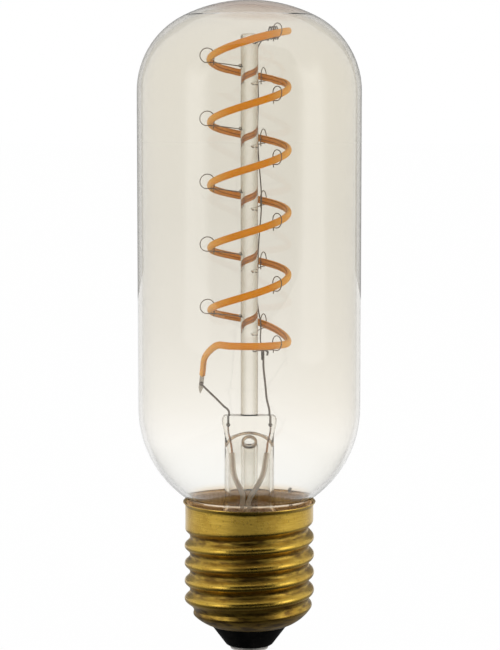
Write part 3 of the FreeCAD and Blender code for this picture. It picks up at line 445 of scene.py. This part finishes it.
# %% Brass
GROOVE_OUT, GROOVE_IN = 0.01305, 0.01215
RING_STRETCH, RING_SCALE = 0.06, 5200.0
STREAK_STRETCH, STREAK_SCALE = 0.25, 1400.0
CLEAN_BRASS = [(0.3, (0.44, 0.285, 0.04)), (0.7, (0.58, 0.385, 0.07))]
WIDE_STAIN, WIDE_STAIN_WEIGHT = (0.34, 0.165, 0.022), 0.45
SMALL_STAIN, SMALL_STAIN_WEIGHT = (0.34, 0.21, 0.045), 0.35
GROOVE_DIRT_AND_SHADE, DARK_LEAST, DARK_MOST = (0.12, 0.066, 0.016), 0.25, 0.95
SPECK_COLOUR, SPECK_WEIGHT = (0.10, 0.06, 0.02), 0.3
BRASS_SMOOTH, BRASS_DULL, GROOVE_ROUGHER = 0.25, 0.34, 0.12


def make_brass():
    """Brass with rolling rings, wide and small stains, dirt and painted shade in the grooves, and specks."""
    material, tree, shader, _ = start("cap_brass")
    age = use(tree, "age", Scale=210.0, Spread=0.62)
    small = use(tree, "age", Scale=900.0, Spread=0.5)
    groove = remap(tree, axis_distance(tree), GROOVE_OUT, GROOVE_IN)
    rings = noise(tree, stretched(tree, RING_STRETCH), RING_SCALE, 3.0)
    streaks = noise(tree, stretched(tree, STREAK_STRETCH), STREAK_SCALE, 4.0)
    # partly dirt, partly painted shade between the groove flanks
    dirt_and_shade = math_node(tree, "MULTIPLY", groove, remap(tree, streaks, 0.42, 0.62, DARK_LEAST, DARK_MOST))
    layers = [(math_node(tree, "MULTIPLY", age["Stain"], WIDE_STAIN_WEIGHT), WIDE_STAIN),
              (math_node(tree, "MULTIPLY", small["Stain"], SMALL_STAIN_WEIGHT), SMALL_STAIN),
              (dirt_and_shade, GROOVE_DIRT_AND_SHADE),
              (math_node(tree, "MULTIPLY", age["Speck"], SPECK_WEIGHT), SPECK_COLOUR)]
    colour = ramp(tree, rings, CLEAN_BRASS)
    for mask, layer in layers:
        colour = blend(tree, mask, colour, layer)
    tree.links.new(colour, shader.inputs["Base Color"])
    rough = math_node(tree, "ADD", remap(tree, age["Stain"], 0, 1, BRASS_SMOOTH, BRASS_DULL),
                      math_node(tree, "MULTIPLY", groove, GROOVE_ROUGHER))
    tree.links.new(rough, shader.inputs["Roughness"])
    set_plain(shader, {"Metallic": 1.0})
    height = math_node(tree, "ADD", rings, math_node(tree, "MULTIPLY", small["Stain"], 0.5))
    link_bump(tree, shader, height, distance=0.00002, strength=0.5)
    return material


finishes["cap_brass"] = make_brass()
print("brass: dirt between", DARK_LEAST, "and", DARK_MOST)

# %% [markdown]
# The other metals are wires and strips. They share one recipe: a base colour, the lines of drawing, and a
# little tarnish in stains. Only the colours and the roughness differ, so a table lists them: the bright
# colour, the tarnished one, and the roughness where the metal is clean.

# %% Wires and strips
METALS = {
    "tab_metal": ((0.46, 0.42, 0.36), (0.24, 0.20, 0.16), 0.30),
    "nickel_wire": ((0.22, 0.19, 0.16), (0.09, 0.07, 0.055), 0.38),
    "copper_wire": ((0.52, 0.28, 0.15), (0.24, 0.11, 0.05), 0.36),
    "hook_wire": ((0.26, 0.22, 0.17), (0.10, 0.08, 0.06), 0.34),
    "contact_metal": ((0.50, 0.48, 0.45), (0.24, 0.22, 0.20), 0.40),
    "hookup_wire": ((0.58, 0.55, 0.50), (0.33, 0.30, 0.26), 0.34),
}
TARNISH_ROUGHER = 0.2


def make_metal(name, bright, dark, roughness):
    """Metal that is darker along its drawing lines and in its stains: the mask is the larger of the two."""
    material, tree, shader, _ = start(name)
    lines = use(tree, "drawn", Scale=7000.0)["Lines"]
    stain = use(tree, "age", Scale=900.0, Spread=0.5)["Stain"]
    tarnish = math_node(tree, "MAXIMUM", math_node(tree, "MULTIPLY", lines, 0.5), stain)
    tree.links.new(blend(tree, tarnish, bright, dark), shader.inputs["Base Color"])
    rough = remap(tree, stain, 0, 1, roughness, roughness + TARNISH_ROUGHER)
    tree.links.new(rough, shader.inputs["Roughness"])
    set_plain(shader, {"Metallic": 1.0})
    link_bump(tree, shader, lines, distance=0.00001, strength=0.5)
    return material


for name, row in METALS.items():
    finishes[name] = make_metal(name, *row)
print("metals:", len(METALS))

# %% [markdown]
# What is left is not metal: the black glassy insulator, the brown cement, the pale sleeves, and the
# driver's board with its parts. A second table holds the grained ones: the main colour, a second colour
# that the grain brings in, the size of the grain, the roughness, the clear coat, the depth of the bump, and
# the gloss. The insulator and the cement have next to no gloss: one is deep black and the other dull.

# %% Insulator, cement and driver parts
SOLIDS = {
    "black_insulator": ((0.002, 0.002, 0.002), (0.006, 0.0055, 0.005), 260.0, 0.30, 0.0, 0.00002, 0.01),
    "cement": ((0.78, 0.58, 0.38), (0.60, 0.43, 0.27), 1500.0, 0.85, 0.0, 0.0001, 0.01),
    "circuit_board": ((0.60, 0.57, 0.42), (0.42, 0.42, 0.28), 2400.0, 0.5, 0.1, 0.00001, 0.5),
    "capacitor_can": ((0.030, 0.030, 0.036), (0.055, 0.055, 0.065), 700.0, 0.35, 0.3, 0.00001, 0.5),
    "chip_body": ((0.020, 0.020, 0.021), (0.045, 0.045, 0.046), 3200.0, 0.6, 0.0, 0.00001, 0.5),
    "resistor_coat": ((0.16, 0.27, 0.19), (0.24, 0.34, 0.25), 1800.0, 0.3, 0.5, 0.00001, 0.5),
}
STAIN_ROUGHER = 0.15


def make_solid(name, main, second, scale, roughness, coat, depth, gloss):
    """A grained, unmetallic finish: stains of a second colour, darker specks, and a bump of that grain."""
    material, tree, shader, _ = start(name)
    age = use(tree, "age", Scale=scale, Spread=0.7)
    darker = tuple(channel * 0.5 for channel in second)
    colour = blend(tree, age["Stain"], main, second)
    colour = blend(tree, math_node(tree, "MULTIPLY", age["Speck"], 0.3), colour, darker)
    tree.links.new(colour, shader.inputs["Base Color"])
    rough = remap(tree, age["Stain"], 0, 1, roughness, min(1.0, roughness + STAIN_ROUGHER))
    tree.links.new(rough, shader.inputs["Roughness"])
    set_plain(shader, {"Specular IOR Level": gloss, "Coat Weight": coat, "Coat Roughness": 0.12})
    link_bump(tree, shader, age["Stain"], distance=depth, strength=0.7)
    return material


for name, row in SOLIDS.items():
    finishes[name] = make_solid(name, *row)
print("grained finishes:", len(SOLIDS))

# %% [markdown]
# The sleeves are thin woven tubes, soaked and milky, so light passes through them. A Wave texture on the
# slant is the weave, stains are where they were heated, and they turn brown towards their edges.

# %% Sleeves
WEAVE = [(0.2, (0.94, 0.85, 0.72)), (0.8, (0.99, 0.94, 0.85))]
HEAT_TINT, HEAT_WEIGHT = (0.60, 0.42, 0.26), 0.4
SLEEVE_EDGE = (0.42, 0.27, 0.14)


def make_sleeve():
    """Weave colours, blended to brown by heat stains and by the square of how far the surface turns away."""
    material, tree, shader, _ = start("sleeve")
    feeds = {"Vector": object_place(tree), "Scale": 700.0, "Distortion": 1.5, "Detail": 1.0}
    weave = add(tree, "ShaderNodeTexWave", feeds, bands_direction="DIAGONAL").outputs["Fac"]
    heat = math_node(tree, "MULTIPLY", use(tree, "age", Scale=350.0, Spread=0.6)["Stain"], HEAT_WEIGHT)
    warm = blend(tree, heat, ramp(tree, weave, WEAVE), HEAT_TINT)
    edge = facing(tree)
    tree.links.new(blend(tree, math_node(tree, "MULTIPLY", edge, edge), warm, SLEEVE_EDGE),
                   shader.inputs["Base Color"])
    set_plain(shader, {"Roughness": 0.3, "Transmission Weight": 0.75, "IOR": 1.35})
    link_bump(tree, shader, weave, distance=0.00002, strength=0.6)
    return material


finishes["sleeve"] = make_sleeve()
print("finishes:", sorted(finishes))

# %% [markdown]
# The record says which finish each solid takes, and only the rod has a finish of its own here. The solids
# keep their shapes, so dressing one means putting the right material in its slot and nothing more.

# %% Dress the solids
OWN_FINISH = {"glass_rod": "rod_glass"}

for part in frame["record"]["subparts"]:
    mesh = frame["nodes"][part["node"]].data
    mesh.materials.clear()
    mesh.materials.append(finishes[OWN_FINISH.get(part["node"], part["material_slot"])])

# %% [markdown]
# New surfaces are grids. A grid is an array of points with one row for each step along and one column for
# each step around; faces join neighbours, the last column joins the first, and a fan closes each end. This
# is worked out as whole arrays, so even a long cord takes no time.


# %% A surface from a grid of points
def cord_uv(uv_along, columns):
    """A UV for every corner, in the order of the faces: U round the section and V along, then both fans."""
    rows = len(uv_along)
    column = np.arange(columns)[None, :]
    around = np.stack(np.broadcast_arrays(column, column + 1, column + 1, column), -1) / columns
    around = np.broadcast_to(around, (rows - 1, columns, 4))
    along = np.stack([uv_along[:-1], uv_along[:-1], uv_along[1:], uv_along[1:]], -1)
    along = np.broadcast_to(along[:, None, :], (rows - 1, columns, 4))
    tips = np.zeros((columns * 6, 2))
    tips[columns * 3:, 1] = uv_along[-1]
    flat = np.stack([around, along], -1).reshape(-1, 2)
    return np.concatenate([flat, tips]).astype(np.float32).ravel()


def grid_mesh(name, points, uv_along=None, caps=2):
    """A tube from points[row, column]: rows go along it and columns round it, with 1 or 2 ends closed."""
    rows, columns = points.shape[:2]
    row = np.arange(rows - 1)[:, None] * columns
    column = np.arange(columns)[None, :]
    after = (column + 1) % columns
    quads = np.stack([row + column, row + after, row + columns + after, row + columns + column], -1)
    quads = quads.reshape(-1, 4)
    ends = np.array([points[0].mean(0), points[-1].mean(0)])
    start_fan = np.stack([np.full(columns, rows * columns), after[0], column[0]], -1)
    last = (rows - 1) * columns
    end_fan = np.stack([np.full(columns, rows * columns + 1), last + column[0], last + after[0]], -1)
    mesh = bpy.data.meshes.new(name)
    vertices = np.concatenate([points.reshape(-1, 3), ends])
    fans = (start_fan.tolist() + end_fan.tolist())[:caps * columns]
    mesh.from_pydata(vertices.tolist(), [], quads.tolist() + fans)
    if uv_along is not None:
        mesh.uv_layers.new(name="cord").data.foreach_set("uv", cord_uv(uv_along, columns))
    mesh.shade_smooth()
    return mesh


def show(name, mesh, finish, stands_for=()):
    """Puts a mesh in the scene with its finish, riding on the lamp."""
    piece = bpy.data.objects.new(name, mesh)
    bpy.context.scene.collection.objects.link(piece)
    mesh.materials.append(finishes[finish])
    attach(piece, "root")
    if stands_for:
        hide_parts(*stands_for)
    print(name, len(mesh.polygons), "faces")


MM = 0.001
print("surface helpers: cord_uv, grid_mesh, show")

# %% [markdown]
# The filament's centre line is a helix that leans a little, with a level start and a level top, and a tail
# that bends down to its weld. Lengths are in millimetres here, and angles in degrees. The helix is a
# formula of the angle: it is level up to -20 degrees, blends to the leaning helix at 90, and at the end to
# the level top.

# %% The helix
COIL_R = 7.9
COIL_PITCH = 12.55
COIL_BACK_Z = 66.75
COIL_LEAN = 0.45
COIL_JOIN, COIL_END, COIL_STEP = -95.0, 1800.0, 3.0
LEVEL_UNTIL, HELIX_FROM = -20, 90
TOP_BLEND, TOP_SLOPE = 90, 0.8
REST_Z, TOP_Z = 62.85, 125.5


def hermite(t, a, b, slope_a, slope_b):
    """A cubic from a to b with given end slopes."""
    return (a + (3 * t**2 - 2 * t**3) * (b - a) + (t**3 - 2 * t**2 + t) * slope_a
            + (t**3 - t**2) * slope_b)


def leaning_z(angle):
    """Height of the even turns: pitch times turns, plus a cosine that tips each turn."""
    return COIL_BACK_Z + COIL_PITCH * (angle - 90) / 360 + COIL_LEAN * np.cos(np.radians(angle))


def coil_z(angle):
    """The level start, the blend that rises, the leaning helix, and the blend to the level top."""
    lean = COIL_LEAN * math.pi / 180
    span = HELIX_FROM - LEVEL_UNTIL
    rise = hermite((angle - LEVEL_UNTIL) / span, REST_Z, leaning_z(HELIX_FROM), 0,
                   (COIL_PITCH / 360 - lean) * span)
    top_from = COIL_END - TOP_BLEND
    top = hermite((angle - top_from) / TOP_BLEND, leaning_z(top_from), TOP_Z,
                  (COIL_PITCH / 360 + lean) * TOP_BLEND, TOP_SLOPE)
    return np.select([angle <= LEVEL_UNTIL, angle < HELIX_FROM, angle <= top_from],
                     [REST_Z, rise, leaning_z(angle)], top)


def polar(r, angle, z):
    """Points at a radius, an angle in degrees and a height."""
    a = np.radians(angle)
    return np.stack(np.broadcast_arrays(r * np.cos(a), r * np.sin(a), z), -1)


turn_angles = np.arange(COIL_JOIN + COIL_STEP, COIL_END + 0.1, COIL_STEP)
coil = polar(COIL_R, turn_angles, coil_z(turn_angles))
print("helix:", len(coil), "points")

# %% [markdown]
# The tail is a smooth curve through a few points: a clamped cubic spline, whose slopes are found by solving
# one small set of equations. Its first points climb from the weld, and its last ones already lie on the
# level turn.

# %% The tail and the whole centre line
TAIL_KNOTS = np.array([[-9.55, -0.2, 55.95], [-9.43, -0.35, 56.95], [-9.3, -0.7, 58.25],
                       [-9.05, -1.5, 59.75], [-7.9, -3.0, 61.55]])
LEAD_IN_ANGLES = np.array([-140.0, -124.96, -109.92, COIL_JOIN])
TAIL_POINTS = 46


def clamped_spline(points, first, last, count):
    """A cubic spline through points with chord-length parameters and given end directions."""
    step = np.linalg.norm(np.diff(points, axis=0), axis=1)
    n = len(points)
    matrix = np.zeros((n, n))
    right = np.zeros((n, 3))
    matrix[0, 0] = matrix[-1, -1] = 1
    right[0], right[-1] = first, last
    inner = np.arange(1, n - 1)
    matrix[inner, inner - 1] = 1 / step[:-1]
    matrix[inner, inner] = 2 / step[:-1] + 2 / step[1:]
    matrix[inner, inner + 1] = 1 / step[1:]
    rise = np.diff(points, axis=0)
    right[1:-1] = 3 * (rise[:-1] / step[:-1, None]**2 + rise[1:] / step[1:, None]**2)
    slope = np.linalg.solve(matrix, right)
    knots = np.concatenate([[0], np.cumsum(step)])
    s = np.linspace(0, knots[-1], count)
    k = np.clip(np.searchsorted(knots, s, "right") - 1, 0, n - 2)
    t = ((s - knots[k]) / step[k])[:, None]
    return hermite(t, points[k], points[k + 1], slope[k] * step[k, None], slope[k + 1] * step[k, None])


tail_points = np.concatenate([TAIL_KNOTS, polar(COIL_R, LEAD_IN_ANGLES, REST_Z)])
tail_start = tail_points[1] - tail_points[0]
tail_start /= np.linalg.norm(tail_start)
tail = clamped_spline(tail_points, tail_start, polar(1.0, COIL_JOIN + 90, 0.0), TAIL_POINTS)
centre_line = np.concatenate([tail, coil])
print("centre line:", len(centre_line), "points")

# %% [markdown]
# The cord's section is an oval that stays upright in the helix and turns with the tail. Outward is away
# from the axis; up is square to outward and to the path. The tail swells where the silicone was wiped off
# its end.

# %% The filament
CORD_WIDTH, CORD_HEIGHT = 1.2, 1.45
SECTION_POINTS = 28
UPRIGHT_FROM, UPRIGHT_OVER = 36, 10
SWELL, SWELL_AT, SWELL_WIDTH = 0.25, 1.6, 1.9
END_ROUND, END_LEAST = 0.35, 0.09
DIE_RIPPLE, DIE_STEP = 0.012, 1.25


def unit(vectors):
    """The same directions with a length of one."""
    return vectors / np.linalg.norm(vectors, axis=1)[:, None]


def make_filament():
    """Every point is centre + outward * half width * cos(around) + up * half height * sin(around)."""
    forward = unit(np.gradient(centre_line, axis=0))
    up = unit(np.cross(unit(centre_line * [1, 1, 0]), forward))
    square_up = unit(np.array([0.0, 0.0, 1.0]) - forward * forward[:, 2:])
    in_coil = np.clip((np.arange(len(centre_line)) - UPRIGHT_FROM) / UPRIGHT_OVER, 0, 1)[:, None]
    up = unit(up * (1 - in_coil) + square_up * in_coil)
    outward = np.cross(forward, up)
    along = np.concatenate([[0], np.cumsum(np.linalg.norm(np.diff(centre_line, axis=0), axis=1))])
    swell = 1 + SWELL * np.exp(-((along - SWELL_AT) / SWELL_WIDTH)**2)
    to_end = np.clip(np.minimum(along, along[-1] - along) / END_ROUND, 0, 1)
    round_end = np.sqrt(np.clip(1 - (1 - to_end)**2, END_LEAST, 1))
    around = np.linspace(0, 2 * np.pi, SECTION_POINTS, endpoint=False)
    dies = 1 + DIE_RIPPLE * np.sin(2 * np.pi * along / DIE_STEP)
    wide = (CORD_WIDTH / 2 * dies * round_end)[:, None, None] * np.cos(around)[None, :, None]
    tall = (CORD_HEIGHT / 2 * swell * round_end)[:, None, None] * np.sin(around)[None, :, None]
    points = centre_line[:, None, :] + outward[:, None, :] * wide + up[:, None, :] * tall
    return grid_mesh("filament_cord", points * MM, along / 10)


show("filament_cord", make_filament(), "phosphor", stands_for=["led_filament"])

# %% [markdown]
# Each hook was pushed into the rod while the glass was soft, which left a small bright bead round its foot.
# One bead is a squashed ball: rows from pole to pole, columns round. All of them are one mesh. The hooks
# stand in three rows up the rod, and a row is given by its angle, its first turn and how many hooks it has.

# %% Glass beads at the hooks
HOOK_ROWS = [(189.0, 0, 5), (69.0, 0, 5), (309.0, -1, 6)]
HOOK_DROP = 1.45
ROD_R = 1.75
BEAD_R, BEAD_HALF_HEIGHT, BEAD_SUNK = 0.5, 0.40, 0.08
BEAD_POLE_GAP = 0.15
BEAD_ROWS, BEAD_COLUMNS = 9, 16


def bead_places():
    """Angle and height of every hook's foot on the rod."""
    places = []
    for angle, first, count in HOOK_ROWS:
        turns = first + np.arange(count)
        heights = coil_z(angle + 360.0 * turns) - HOOK_DROP
        places += [(angle, height) for height in heights]
    return places


def make_beads():
    """A point is R cos(lat) cos(lon), R cos(lat) sin(lon), H sin(lat), with its middle sunk into the rod."""
    top = np.pi / 2 - BEAD_POLE_GAP
    lat = np.linspace(-top, top, BEAD_ROWS)[:, None]
    lon = np.linspace(0, 2 * np.pi, BEAD_COLUMNS, endpoint=False)[None, :]
    ball = np.stack(np.broadcast_arrays(BEAD_R * np.cos(lat) * np.cos(lon),
                                        BEAD_R * np.cos(lat) * np.sin(lon),
                                        BEAD_HALF_HEIGHT * np.sin(lat)), -1)
    joined = bpy.data.meshes.new("hook_beads")
    vertices, faces = [], []
    for angle, z in bead_places():
        one = grid_mesh("one_bead", (ball + polar(ROD_R - BEAD_SUNK, angle, z)) * MM)
        base = len(vertices)
        vertices += [tuple(vertex.co) for vertex in one.vertices]
        faces += [tuple(base + i for i in face.vertices) for face in one.polygons]
        bpy.data.meshes.remove(one)
    joined.from_pydata(vertices, [], faces)
    joined.shade_smooth()
    return joined


show("hook_beads", make_beads(), "stem_glass")

# %% [markdown]
# The press keeps the marks of the flame: a thick seam where the two walls of the tube met in an arch, and a
# melted lip round each end of the hole that the air was drawn through. Both are thin rods of glass bent
# along a curve, and one function makes a rod from the points of its middle line.

# %% Seam and lips of the press
SEAM_HALF_WIDTH = 4.65
SEAM_LOW, SEAM_HIGH = 40.9, 44.5
SEAM_REACH, SEAM_POINTS, SEAM_R = 1.35, 40, 0.3
LIP_Z = 42.75
LIP_HALF_WIDTH, LIP_HALF_HEIGHT = 1.35, 1.15
LIP_POINTS, LIP_R = 41, 0.26
PRESS_FACE = 2.0
ROD_SECTION_POINTS = 14


def bent_rod(name, middle, radius):
    """Sections square to a middle line: middle + radius * (across * cos + other * sin)."""
    forward = unit(np.gradient(middle, axis=0))
    across = unit(np.cross(forward, [0.0, 1.0, 0.0]))
    other = np.cross(forward, across)
    around = np.linspace(0, 2 * np.pi, ROD_SECTION_POINTS, endpoint=False)[None, :, None]
    rows = across[:, None, :] * np.cos(around) + other[:, None, :] * np.sin(around)
    return grid_mesh(name, (middle[:, None, :] + radius * rows) * MM)


def make_seam():
    """Part of an oval in the middle of the press: x = w sin(t), z = low + (high - low) cos(t)."""
    t = np.linspace(-SEAM_REACH, SEAM_REACH, SEAM_POINTS)
    z = SEAM_LOW + (SEAM_HIGH - SEAM_LOW) * np.cos(t)
    return bent_rod("press_seam", np.stack([SEAM_HALF_WIDTH * np.sin(t), 0.0 * t, z], -1), SEAM_R)


def make_lip(name, y):
    """An oval ring on one face of the press."""
    t = np.linspace(0, 2 * np.pi, LIP_POINTS)
    z = LIP_Z + LIP_HALF_HEIGHT * np.cos(t)
    return bent_rod(name, np.stack([LIP_HALF_WIDTH * np.sin(t), y + 0.0 * t, z], -1), LIP_R)


show("press_seam", make_seam(), "dark_press_glass")
show("front_lip", make_lip("front_lip", -PRESS_FACE), "dark_press_glass")
show("back_lip", make_lip("back_lip", PRESS_FACE), "dark_press_glass")

# %% [markdown]
# The studio is white all round. The floor keeps a faint shadow: most of its look is even white for the
# camera, and a part of it is a plain diffuse white that shadows can darken. The world is white for rays
# that see it and a softer grey for the light it gives, so lamps can shape the object.

# %% Floor and world
FLOOR_RADII = [0.02, 0.1, 0.4, 1.2, 4.0, 14.0]
FLOOR_SPOKES = 64
FLOOR_DROP = 0.0001
FLOOR_WHITES = [(0.0, (0.93, 0.93, 0.93)), (1.0, (0.95, 0.95, 0.95))]
EVEN_WHITE = 0.985
WORLD_LIGHT, WORLD_SEEN = 0.74, 1.0


def seen_directly(tree):
    """1 for rays from the camera, off a gloss or through glass, and 0 for those that carry light."""
    path = add(tree, "ShaderNodeLightPath").outputs
    gloss_or_glass = math_node(tree, "MAXIMUM", path["Is Glossy Ray"], path["Is Transmission Ray"])
    return math_node(tree, "MAXIMUM", path["Is Camera Ray"], gloss_or_glass)


def make_floor():
    """A wide ring-and-spoke disc just under the contact: x = r cos(a), y = r sin(a)."""
    radii = np.array(FLOOR_RADII)[:, None]
    around = np.linspace(0, 2 * np.pi, FLOOR_SPOKES, endpoint=False)[None, :]
    disc = np.stack(np.broadcast_arrays(radii * np.cos(around), radii * np.sin(around), -FLOOR_DROP), -1)
    mesh = grid_mesh("floor", disc, caps=1)
    floor = bpy.data.objects.new("floor", mesh)
    bpy.context.scene.collection.objects.link(floor)
    material, tree, shader, output = start("studio_floor")
    cloud = add(tree, "ShaderNodeTexNoise", {"Scale": 40.0}).outputs["Fac"]
    tree.links.new(ramp(tree, cloud, FLOOR_WHITES), shader.inputs["Base Color"])
    set_plain(shader, {"Roughness": 0.9})
    white = add(tree, "ShaderNodeEmission", {"Color": (1, 1, 1, 1), "Strength": 1.0})
    share = math_node(tree, "MULTIPLY", seen_directly(tree), EVEN_WHITE)
    mixed = add(tree, "ShaderNodeMixShader", {0: share, 1: shader.outputs[0], 2: white.outputs[0]})
    tree.links.new(mixed.outputs[0], output.inputs["Surface"])
    mesh.materials.append(material)


def make_world():
    """White to look at, and a little less bright as a source of light."""
    world = bpy.data.worlds.new("studio")
    bpy.context.scene.world = world
    world.use_nodes = True
    sky = world.node_tree
    background = sky.nodes["Background"]
    strength = remap(sky, seen_directly(sky), 0, 1, WORLD_LIGHT, WORLD_SEEN)
    sky.links.new(strength, background.inputs["Strength"])
    background.inputs["Color"].default_value = (1, 1, 1, 1)


make_floor()
make_world()
print("floor reaches", FLOOR_RADII[-1], "m; the world's light is", WORLD_LIGHT)

# %% [markdown]
# Polished metal shows what stands around it, so the studio has sheets that only reflections see. A dark one
# behind the camera draws the dark band down the middle of the brass. Grey ones just over the floor are
# painted
# shadow: they stand for the floor shaded round the base, darkest right under it, and keep the brass's lower
# sides from turning white. A tall bright one on each side draws the bright bands. Where sheets overlap near
# the floor, each fades out over the next, so no white gap is left between them. The table gives each one's
# middle, its two half edges, its light, and how much of it fades.

# %% Sheets for the reflections
CARDS = [
    ("front_card", (0, -0.75, 0.8), (1.1, 0, 0), (0, 0, 0.9), 0.012, 0.0),
    # painted shadow: the next three grey sheets stand for the floor shaded round the base
    ("shaded_floor_card", (0, -0.37, 0.0005), (0.11, 0, 0), (0, 0.35, 0), 0.56, 0.2),
    ("near_shadow_card", (0, 0.0, 0.0004), (0.11, 0, 0), (0, 0.11, 0), 0.40, 0.4),
    ("base_shadow_card", (0, -0.05, 0.0006), (0.05, 0, 0), (0, 0.065, 0), 0.02, 0.6),
    ("back_card", (0, 0.9, 0.5), (0.8, 0, 0), (0, 0, 0.6), 0.35, 0.0),
    ("left_glow", (-0.52, -0.36, 0.20), (0.16, -0.16, 0), (0, 0, 0.34), 2.6, 0.9),
    ("right_glow", (0.53, -0.22, 0.20), (-0.10, -0.22, 0), (0, 0, 0.34), 2.9, 0.9),
]


def make_card(name, middle, across, upward, light, soft):
    """A sheet whose corners are the middle plus and minus two half edges.

    Its light fades to nothing over the outer part of it that soft gives, and with soft 0 it ends sharply.
    """
    middle, across, upward = Vector(middle), Vector(across), Vector(upward)
    corners = [middle - across - upward, middle + across - upward,
               middle + across + upward, middle - across + upward]
    mesh = bpy.data.meshes.new(name)
    mesh.from_pydata([tuple(corner) for corner in corners], [], [(0, 1, 2, 3)])
    mesh.uv_layers.new(name="card").data.foreach_set("uv", [-1, -1, 1, -1, 1, 1, -1, 1])
    card = bpy.data.objects.new(name, mesh)
    bpy.context.scene.collection.objects.link(card)
    material, tree, _, output = start(name)
    paper = add(tree, "ShaderNodeEmission", {"Color": (1, 1, 1, 1), "Strength": light})
    fade = 1.0
    if soft:
        uv = add(tree, "ShaderNodeUVMap", uv_map="card").outputs["UV"]
        parts = add(tree, "ShaderNodeSeparateXYZ", {0: uv}).outputs
        away = math_node(tree, "MAXIMUM", math_node(tree, "ABSOLUTE", parts["X"]),
                         math_node(tree, "ABSOLUTE", parts["Y"]))
        feeds = {"Value": away, "From Min": 1.0, "From Max": 1.0 - soft}
        fade = add(tree, "ShaderNodeMapRange", feeds, interpolation_type="SMOOTHSTEP").outputs["Result"]
    clear = tree.nodes.new("ShaderNodeBsdfTransparent")
    mixed = add(tree, "ShaderNodeMixShader", {0: fade, 1: clear.outputs[0], 2: paper.outputs[0]})
    tree.links.new(mixed.outputs[0], output.inputs["Surface"])
    mesh.materials.append(material)
    card.visible_camera = False
    card.visible_diffuse = False
    card.visible_transmission = False
    card.visible_shadow = False


for row in CARDS:
    make_card(*row)
print("sheets:", [row[0] for row in CARDS])

# %% [markdown]
# Two tall soft lamps, one on each side, light what isn't metal. They are unseen themselves, also in
# reflections, because the bright sheets stand there for that. Their table gives the place, the size and the
# power.

# %% Lamps
LAMPS = [
    ("left_lamp", (-0.62, -0.30, 0.22), (0.22, 0.6), 1.1),
    ("right_lamp", (0.62, -0.22, 0.22), (0.26, 0.6), 1.3),
]
LAMP_TARGET = Vector((0, 0, 0.06))
LAMP_COLOUR = (1.0, 0.99, 0.97)


def make_lamp(name, place, size, power):
    """A rectangular soft lamp turned towards the lower half of the bulb."""
    data = bpy.data.lights.new(name, "AREA")
    data.shape = "RECTANGLE"
    data.size, data.size_y = size
    data.energy = power
    data.color = LAMP_COLOUR
    lamp = bpy.data.objects.new(name, data)
    lamp.location = place
    lamp.rotation_euler = (LAMP_TARGET - Vector(place)).to_track_quat("-Z", "Y").to_euler()
    lamp.visible_camera = False
    lamp.visible_transmission = False
    lamp.visible_glossy = False
    bpy.context.scene.collection.objects.link(lamp)


for row in LAMPS:
    make_lamp(*row)
print("lamps:", [row[0] for row in LAMPS])

# %% [markdown]
# The camera looks along +Y and a few degrees down, as the photograph's does. Its place is its target plus
# the reach times the direction back to it, and its turn about X is a right angle less the rise.

# %% Camera
CAMERA_REACH = 0.440
CAMERA_RISE = math.radians(5.2)
CAMERA_LENS = 120.6
TARGET = Vector((0.00014, 0, 0.0664))

camera_data = bpy.data.cameras.new("camera")
camera_data.lens = CAMERA_LENS
camera_data.clip_start = 0.01
camera = bpy.data.objects.new("camera", camera_data)
camera.location = TARGET + CAMERA_REACH * Vector((0, -math.cos(CAMERA_RISE), math.sin(CAMERA_RISE)))
camera.rotation_euler = (math.pi / 2 - CAMERA_RISE, 0, 0)
bpy.context.scene.collection.objects.link(camera)
bpy.context.scene.camera = camera
bpy.context.scene.view_settings.view_transform = "Standard"
print("camera at", [round(c, 4) for c in camera.location])
